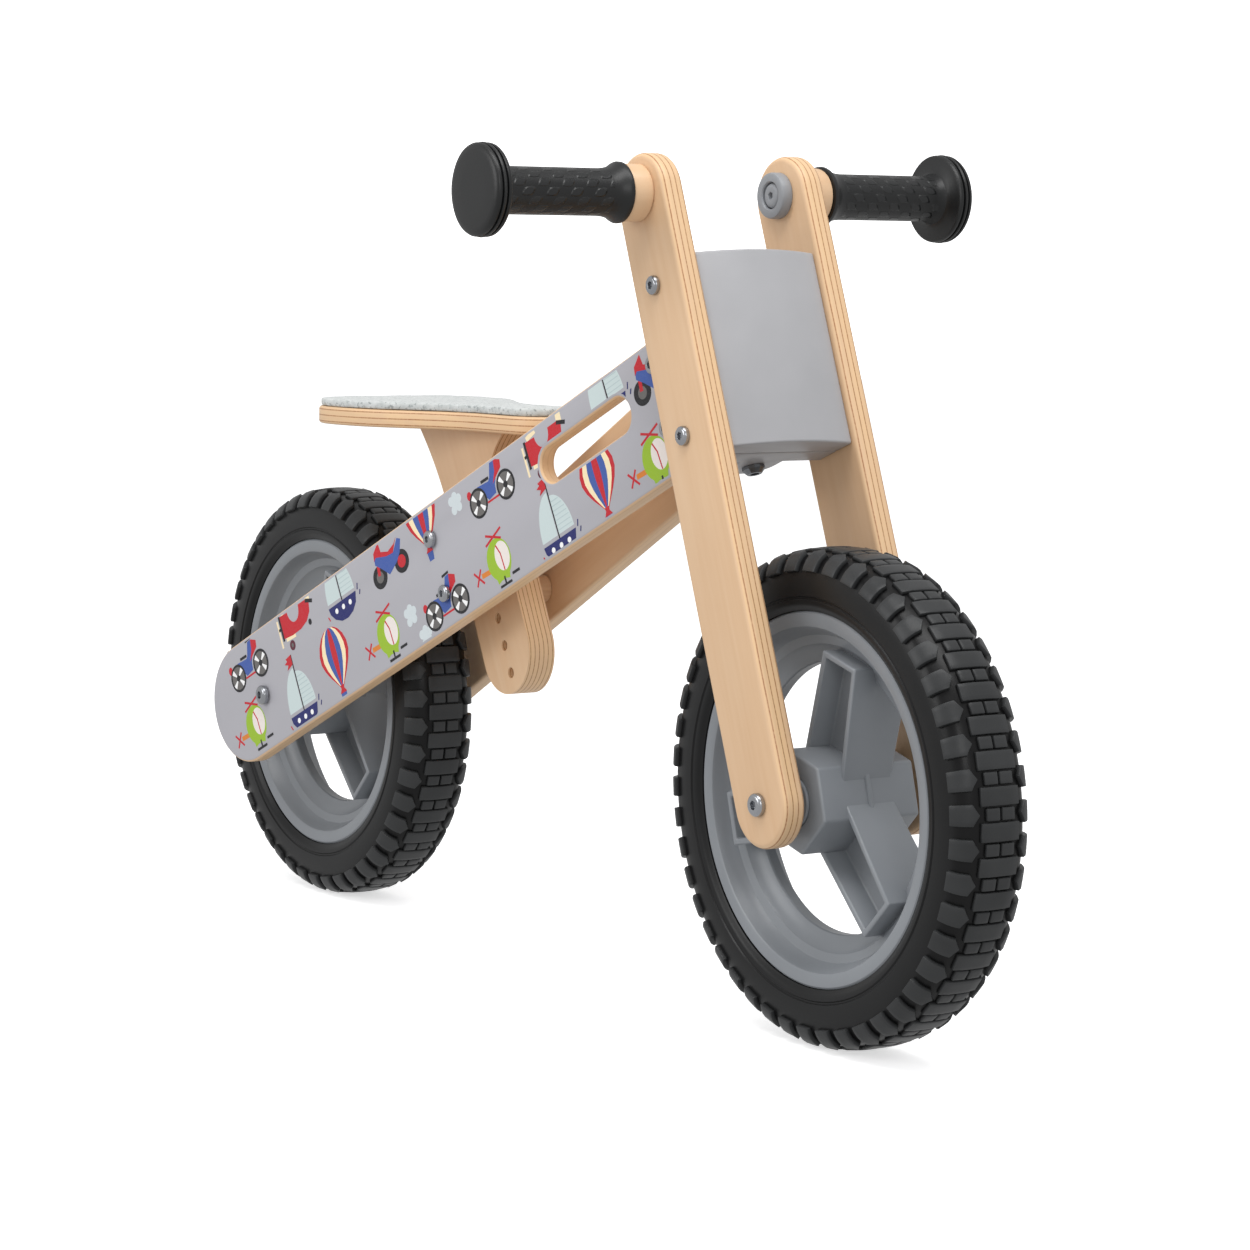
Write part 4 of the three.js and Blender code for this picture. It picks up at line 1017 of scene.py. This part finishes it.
def shapes_on_panel():
    """Every shape in its place, cut to the panel, with its ink and its place in the toy's stack."""
    for toy, at_u, at_v in TOYS:
        for layer, (ink, shape) in enumerate(toy()):
            placed = [(at_u + u * WIDER.get(toy, 1), at_v + v) for u, v in shape]
            if sum(p[0] * q[1] - q[0] * p[1] for p, q in pairs(placed)) < 0:
                placed.reverse()
            for a, b in pairs(print_line):
                placed = keep_left(placed, a, b) if placed else placed
            for part in outside(placed, slot_edge) if len(placed) > 2 else []:
                yield ink, layer, part


print("shapes on a panel", len(list(shapes_on_panel())))

# %% Prints
FIRST_LIFT, LAYER_LIFT, INK_THICK, SAME_PLACE = 0.02, 0.012, 0.3 * MM, 0.02 * MM


def print_on(word, side):
    """One panel's print, laid in order on the outer face."""
    sheet = bmesh.new()
    for ink, layer, part in shapes_on_panel():
        lift = side * (FIRST_LIFT + LAYER_LIFT * layer) * MM
        corners = []
        for u, v in part:
            point = Vector((u * MM, lift, v * MM))
            if not corners or (point - corners[-1].co).length > SAME_PLACE:
                corners.append(sheet.verts.new(point))
        if len(corners) > 2:
            face = sheet.faces.new(corners if side < 0 else corners[::-1])
            face.material_index = ink_order.index(ink)
    mesh = bpy.data.meshes.new("panel_print_" + word)
    sheet.to_mesh(mesh)
    sheet.free()
    printed = bpy.data.objects.new("panel_print_" + word, mesh)
    bpy.context.collection.objects.link(printed)
    for ink in ink_finishes:
        mesh.materials.append(ink)
    modify(printed, "SOLIDIFY", thickness=INK_THICK, offset=-1)
    settle(printed, panel_frame(side))
    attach(printed, "frame")
    return printed


for word, side in (("right", -1), ("left", 1)):
    print(print_on(word, side).name, "printed")

# %% [markdown]
# ## Wheels
# A wheel is a moulded rim with three hollow spokes and a solid foam tyre. The smooth body of the tyre is
# turned. Its tread is a small set of raised blocks, made flat and wrapped on the tyre's curve, that is
# copied round the wheel.

# %% Tyre body
tread_curve = [(0, 142.7), (5, 142.65), (10, 142.3), (14, 141.5), (17.4, 140.1), (20.2, 138.0), (22.2, 135.2),
               (23.6, 131.6), (24.5, 127.0)]
wall = [(r, y) for y, r in tread_curve]
wall += [(121, 24.9), (117.4, 24.8), (116.8, 24.0), (115.9, 23.9), (115.2, 24.6), (113.2, 24.5),
         (111.4, 23.7), (110.2, 22.6), (108.9, 22.0), (108.9, 19.3), (105.3, 17.9)]
tyre_line = in_mm(reversed(wall), -1) + in_mm(wall[1:])
tyre_body = turned("tyre_body", tyre_line, 184)
smooth(tyre_body, 30)
print("tyre body", len(tyre_body.data.polygons), "faces")

# %% Tread block
PITCHES = 46
PITCH = 2 * math.pi * WHEEL_R / PITCHES
DRAW_IN, ROOT = 0.35 * MM, 0.4 * MM


def on_tyre(u, v, h):
    """The place that is u round the wheel, v across the tread from its middle, and h above it."""
    left, reach = abs(v), 0.0
    for (y0, r0), (y1, r1) in zip(tread_curve, tread_curve[1:]):
        length = math.hypot(y1 - y0, r1 - r0) * MM
        if reach + length >= left or (y1, r1) == tread_curve[-1]:
            share = (left - reach) / length
            y, r = y0 + (y1 - y0) * share, r0 + (r1 - r0) * share
            normal = Vector((r0 - r1, y1 - y0)).normalized()
            break
        reach += length
    out, side = r * MM + h * normal.y, math.copysign(y * MM + h * normal.x, v)
    return (out * math.cos(u / WHEEL_R), side, out * math.sin(u / WHEEL_R))


def tread_block(name, u, v, height, cuts, tip=0.0):
    """A raised block over the spans u and v. A tip draws its inner end out to a point."""
    bpy.ops.object.select_all(action="DESELECT")
    bpy.ops.mesh.primitive_cube_add(size=2)
    block = name_it(name)
    bpy.ops.object.mode_set(mode="EDIT")
    bpy.ops.mesh.subdivide(number_cuts=cuts)
    bpy.ops.object.mode_set(mode="OBJECT")
    middle_u, middle_v = sum(u) / 2, sum(v) / 2
    half_u, half_v = (u[1] - u[0]) / 2, (v[1] - v[0]) / 2
    inward = -math.copysign(1, middle_v)
    for vertex in block.data.vertices:
        a, b, c = vertex.co
        raised = max(0.0, c)
        draw_in = DRAW_IN * raised
        place_u = middle_u + a * (half_u - draw_in)
        place_v = middle_v + b * (half_v - draw_in)
        if tip and b * inward > 0.9:
            place_v += inward * tip * (1 - abs(a))
        vertex.co = on_tyre(place_u, place_v, height * raised - ROOT * (c < 0))
    return block


print("tread pitch", round(PITCH / MM, 2), "mm")

# %% [markdown]
# One pitch of the tread has a wide block across the middle, two small ones between it and the next, and
# a pointed block on each shoulder. They're made once, rounded, and spun round the wheel as copies.

# %% Tread
WIDE_U, WIDE_V, WIDE_UP = 5.5 * MM, 12.9 * MM, 2.3 * MM
BETWEEN_U, BETWEEN_V, BETWEEN_UP = 6.1 * MM, (0.4 * MM, 9.8 * MM), 2.1 * MM
SHOULDER_PAST, SHOULDER_V, SHOULDER_UP, SHOULDER_TIP = 2.6 * MM, (17 * MM, 29 * MM), 2.8 * MM, 3.4 * MM
blocks = [tread_block("block_wide", (-WIDE_U, WIDE_U), (-WIDE_V, WIDE_V), WIDE_UP, 3)]
between = (BETWEEN_U, PITCH - BETWEEN_U)
shoulder = (between[0] - SHOULDER_PAST, between[1] + SHOULDER_PAST)
for hand in (-1, 1):
    inner_span = sorted(hand * v for v in BETWEEN_V)
    blocks.append(tread_block("block_between", between, inner_span, BETWEEN_UP, 2))
    outer_span = sorted(hand * v for v in SHOULDER_V)
    blocks.append(tread_block("block_shoulder", shoulder, outer_span, SHOULDER_UP, 3, tip=SHOULDER_TIP))
for block in blocks:
    soften(block, 0.8 * MM, 2, 35)
tread = join_up(*blocks)
take(tread)
bpy.ops.object.mode_set(mode="EDIT")
bpy.ops.mesh.select_all(action="SELECT")
bpy.ops.mesh.spin(steps=PITCHES - 1, dupli=True, angle=2 * math.pi * (PITCHES - 1) / PITCHES,
                  center=(0, 0, 0), axis=(0, 1, 0))
bpy.ops.mesh.select_all(action="SELECT")
bpy.ops.mesh.normals_make_consistent(inside=False)
bpy.ops.object.mode_set(mode="OBJECT")
smooth(tread, 25)
tyre = join_up(tyre_body, tread)
tyre.name = "tyre_front_foam"
print("tyre", len(tyre.data.polygons), "faces")

# %% [markdown]
# The rubber's finish asks each point how proud of the tyre's body it stands, so that the grooves can be
# painted dark with shade and the tops of the blocks left paler. That is stored on the mesh as an attribute.
# The smooth wall gets a low value of its own, which paints shade on it too.

# %% How proud each point stands
WALL_R, WALL_PROUD, FULL_PROUD = 134 * MM, 0.14, 1.6


def body_radius(y):
    """The tyre body's radius at a distance from its middle plane."""
    for (y0, r0), (y1, r1) in zip(tread_curve, tread_curve[1:]):
        if abs(y) <= y1 * MM:
            return (r0 + (r1 - r0) * (abs(y) / MM - y0) / (y1 - y0)) * MM
    return tread_curve[-1][1] * MM


proud = tyre.data.attributes.new("proud", "FLOAT", "POINT")
for vertex, value in zip(tyre.data.vertices, proud.data):
    radius = math.hypot(vertex.co.x, vertex.co.z)
    height = (radius - body_radius(vertex.co.y)) / MM
    on_wall = radius < WALL_R and height < 1
    # A low value paints the wall nearly as dark as the grooves: painted shade.
    value.value = WALL_PROUD if on_wall else max(0.0, min(1.0, height / FULL_PROUD))
print("points on top of the tread", sum(value.value == 1 for value in proud.data))

# %% [markdown]
# The rim is one moulding, but it's easier to make as a turned ring, a six-sided hub and three
# spokes that run into each other. They're joined into one piece at the end.

# %% Rim ring
ring_half = [(79, 3.0), (79.6, 3.9), (84, 5.2), (88.4, 8.6), (89.4, 9.8), (94.6, 11.4), (97.6, 15.4),
             (98.8, 19.4), (99.8, 21.2), (101.2, 21.9), (107.4, 21.9), (108.6, 21.0), (108.6, 19.9),
             (105, 18.5)]
ring = turned("rim_ring", in_mm(ring_half) + in_mm(reversed(ring_half), -1), 144)
smooth(ring, 28)
print("rim ring", len(ring.data.polygons), "faces")

# %% Hub
HUB_R, HUB_HALF, RIB_HALF, RIB_PROUD, BUSH_SEAT = 31 * MM, 34 * MM, 1.6 * MM, 1.045, 15.5 * MM
hub_turns = [math.radians(a) for a in range(45, 405, 60)]
hub_line = [(HUB_R * math.cos(t), HUB_R * math.sin(t)) for t in hub_turns]
hub = board("hub", hub_line, -HUB_HALF, HUB_HALF)
soften(hub, 1.6 * MM, 3, 40)
rib = board("hub_rib", [(a * RIB_PROUD, b * RIB_PROUD) for a, b in hub_line], -RIB_HALF, RIB_HALF)
soften(rib, 0.6 * MM, 2, 40)
for hand in (-1, 1):
    cut_round(hub, BUSH_SEAT, 3 * MM, (0, hand * HUB_HALF, 0), sides=48)
print("hub", len(hub.data.polygons), "faces")

# %% Spokes
SPOKE_ANGLES = (75, 195, 315)
HUB_END, RIM_END = (14, 17, 20), (86, 20, 16)
WALL, WALL_SLOPE, HOLLOW = 3.6 * MM, 0.7 * MM, 15 * MM


def spoke(angle):
    """A hollow spoke: a tapered bar towards +X whose two sides are inset and pressed in, then turned."""
    bpy.ops.object.select_all(action="DESELECT")
    bpy.ops.mesh.primitive_cube_add(size=2)
    bar = name_it("spoke")
    for vertex in bar.data.vertices:
        a, b, c = vertex.co
        reach, half_wide, half_deep = RIM_END if a > 0 else HUB_END
        vertex.co = (reach * MM, b * half_wide * MM, c * half_deep * MM)
    bpy.ops.object.mode_set(mode="EDIT")
    bpy.ops.mesh.select_mode(type="FACE")
    bpy.ops.mesh.select_all(action="DESELECT")
    shape = bmesh.from_edit_mesh(bar.data)
    for face in shape.faces:
        face.select = abs(face.normal.y) > 0.7
    bmesh.update_edit_mesh(bar.data)
    bpy.ops.mesh.inset(thickness=WALL, depth=0, use_individual=True)
    bpy.ops.mesh.inset(thickness=WALL_SLOPE, depth=-HOLLOW, use_individual=True)
    bpy.ops.object.mode_set(mode="OBJECT")
    bar.matrix_world = Matrix.Rotation(-math.radians(angle), 4, "Y")
    settle(bar)
    return soften(bar, 1.1 * MM, 3, 40)


rim = join_up(ring, hub, rib, *(spoke(angle) for angle in SPOKE_ANGLES))
rim.name = "rim_front_moulded"
print("rim", len(rim.data.polygons), "faces")

# %% Wheels in place
tyre_rear = twin(tyre, "tyre_rear_foam")
rim_rear = twin(rim, "rim_rear_moulded")
for word, centre, rubber_ring, moulding in (("front", FRONT, tyre, rim), ("rear", REAR, tyre_rear, rim_rear)):
    place = Matrix.Translation(centre)
    settle(rubber_ring, place)
    settle(moulding, place)
    finish(rubber_ring, word + "_wheel", "tyre", foam_rubber, word + "_tyre")
    finish(moulding, word + "_wheel", "plastic", rim_plastic, word + "_rim")
print("wheels in place")

# %% [markdown]
# Each wheel turns on two plastic bushes, pressed into its hub. A spacer on each side keeps it in the
# middle, and the rear ones are longer because the panels stand further apart than the legs.

# %% Bushes and spacers
bush_line = [(4.4, 20), (10.7, 20), (10.7, 33.2), (14.6, 33.2), (15, 33.8), (15, 35.0), (14.4, 35.5),
             (6.5, 35.5), (5.6, 34.9), (4.4, 34.9)]
for word, centre, body, out in (("front", FRONT, "fork", 43.2), ("rear", REAR, "frame", 50.4)):
    place = Matrix.Translation(centre)
    spacer_line = [(4.4, 35.9), (8.6, 35.9), (9, 36.3), (9, out - 0.4), (8.6, out), (4.4, out)]
    for hand_word, hand in (("left", 1), ("right", -1)):
        bush = turned(f"{word}_bush_{hand_word}_ring", in_mm(bush_line, hand), 48, place)
        finish(bush, word + "_wheel", "plastic", rim_plastic, f"{word}_bush_{hand_word}")
        spacer = turned(f"{word}_spacer_{hand_word}_ring", in_mm(spacer_line, hand), 48, place)
        finish(spacer, body, "plastic", cap_plastic, f"{word}_spacer_{hand_word}")
print("bushes and spacers in place")

# %% [markdown]
# ## Small hidden parts
# Washers, spacers and the steering bolt are plain CAD turnings. They keep their shape and take a finish.

# %% CAD pieces that stay
for node, shown in frame["nodes"].items():
    if shown.hide_render:
        continue
    if node.startswith("seat_spacer"):
        material = bar_wood
    else:
        material = dull_steel if node in ("steering_bolt", "steering_nut") else washer_plastic
    shown.data.materials.clear()
    shown.data.materials.append(material)
    print("CAD piece kept:", node)

# %% [markdown]
# ## Stage
# The bike stands on a wide sheet of white paper inside a white dome. Both glow a little, so that they
# come out white, but only the camera sees them: they neither light the bike nor show in its gloss.

# %% Floor and backdrop
FLOOR_SIZE, FLOOR_GLOW, DOME_R, DOME_GLOW = 22, 0.6, 12, 1.0
bpy.ops.object.select_all(action="DESELECT")
bpy.ops.mesh.primitive_plane_add(size=FLOOR_SIZE, location=(0, 0, 0))
sweep = name_it("paper_sweep")
paper = Recipe("white_paper", roughness=0.9, specular=0.1)
paper_grain = paper.noise(paper.place(), 40.0, 3.0)
paper.wear(paper.mix(paper.ramp(paper_grain, 0.3, 0.7), tone(240, 240, 241), tone(243, 243, 244)))
paper.shader.inputs["Emission Color"].default_value = (1, 1, 1, 1)
paper.shader.inputs["Emission Strength"].default_value = FLOOR_GLOW
sweep.data.materials.append(paper.material)
bpy.ops.mesh.primitive_uv_sphere_add(segments=48, ring_count=24, radius=DOME_R, location=(0, 0, 0))
dome = name_it("paper_dome")
glow = Recipe("lit_paper", roughness=1.0, specular=0.0)
glow.wear(glow.mix(0.5, tone(250, 250, 250), tone(255, 255, 255)))
glow.shader.inputs["Emission Color"].default_value = (1, 1, 1, 1)
glow.shader.inputs["Emission Strength"].default_value = DOME_GLOW
dome.data.materials.append(glow.material)
for paper_piece in (sweep, dome):
    paper_piece.visible_diffuse = False
    paper_piece.visible_glossy = False
    paper_piece.visible_shadow = False
print("floor and dome ready")

# %% [markdown]
# The light is even, as in a studio: a white world gives most of it. One broad lamp above makes the tops
# brightest, and two weaker ones at the front and the side give the edges their shine.

# %% Lamps
def soft_lamp(name, place, aim, size, power):
    """A rectangular lamp at a place, turned to face the aim. Its power is in watts."""
    bpy.ops.object.light_add(type="AREA", location=place)
    lamp = bpy.context.object
    lamp.name = name
    lamp.data.shape = "RECTANGLE"
    lamp.data.size, lamp.data.size_y = size
    lamp.data.energy = power
    lamp.rotation_euler = (Vector(aim) - Vector(place)).to_track_quat("-Z", "Y").to_euler()


soft_lamp("top_lamp", (0.8, -0.4, 2.5), (0.1, 0, 0.2), (2.8, 1.0), 44)
soft_lamp("front_lamp", (2.6, -1.2, 1.3), (0, 0, 0.25), (1.0, 0.8), 10)
soft_lamp("side_lamp", (-0.6, -2.6, 1.2), (0, 0, 0.25), (1.5, 1.1), 19)
WORLD_LIGHT = 0.64
world = bpy.data.worlds.new("studio")
bpy.context.scene.world = world
world.use_nodes = True
sky = world.node_tree.nodes["Background"]
sky.inputs["Color"].default_value = (1, 1, 1, 1)
sky.inputs["Strength"].default_value = WORLD_LIGHT
bpy.context.scene.view_settings.view_transform = "Standard"
print("lamps ready")

# %% [markdown]
# The camera looks from the front right, a little above the axles. It's set by the place of its eye, the
# way it faces, how far it looks down and a slight roll. A long lens keeps the wheels round.

# %% Camera
EYE = Vector((1.9272, -1.2284, 0.4506))
HEADING, DIP, ROLL = math.radians(147.52), math.radians(-4.95), math.radians(0.47)
ahead = Vector((math.cos(DIP) * math.cos(HEADING), math.cos(DIP) * math.sin(HEADING), math.sin(DIP)))
level = ahead.cross(Vector((0, 0, 1))).normalized()
above = level.cross(ahead)
right = level * math.cos(ROLL) + above * math.sin(ROLL)
up = above * math.cos(ROLL) - level * math.sin(ROLL)
bpy.ops.object.camera_add(location=EYE)
camera = bpy.context.object
camera.matrix_world = Matrix((
    (right.x, up.x, -ahead.x, EYE.x),
    (right.y, up.y, -ahead.y, EYE.y),
    (right.z, up.z, -ahead.z, EYE.z),
    (0, 0, 0, 1),
))
camera.data.lens = 102.6
camera.data.sensor_width = 36
camera.data.shift_x = 0.0478
camera.data.shift_y = -0.0426
bpy.context.scene.camera = camera
print("camera at", tuple(round(v, 3) for v in EYE))

# %% Finish
bpy.context.view_layer.update()
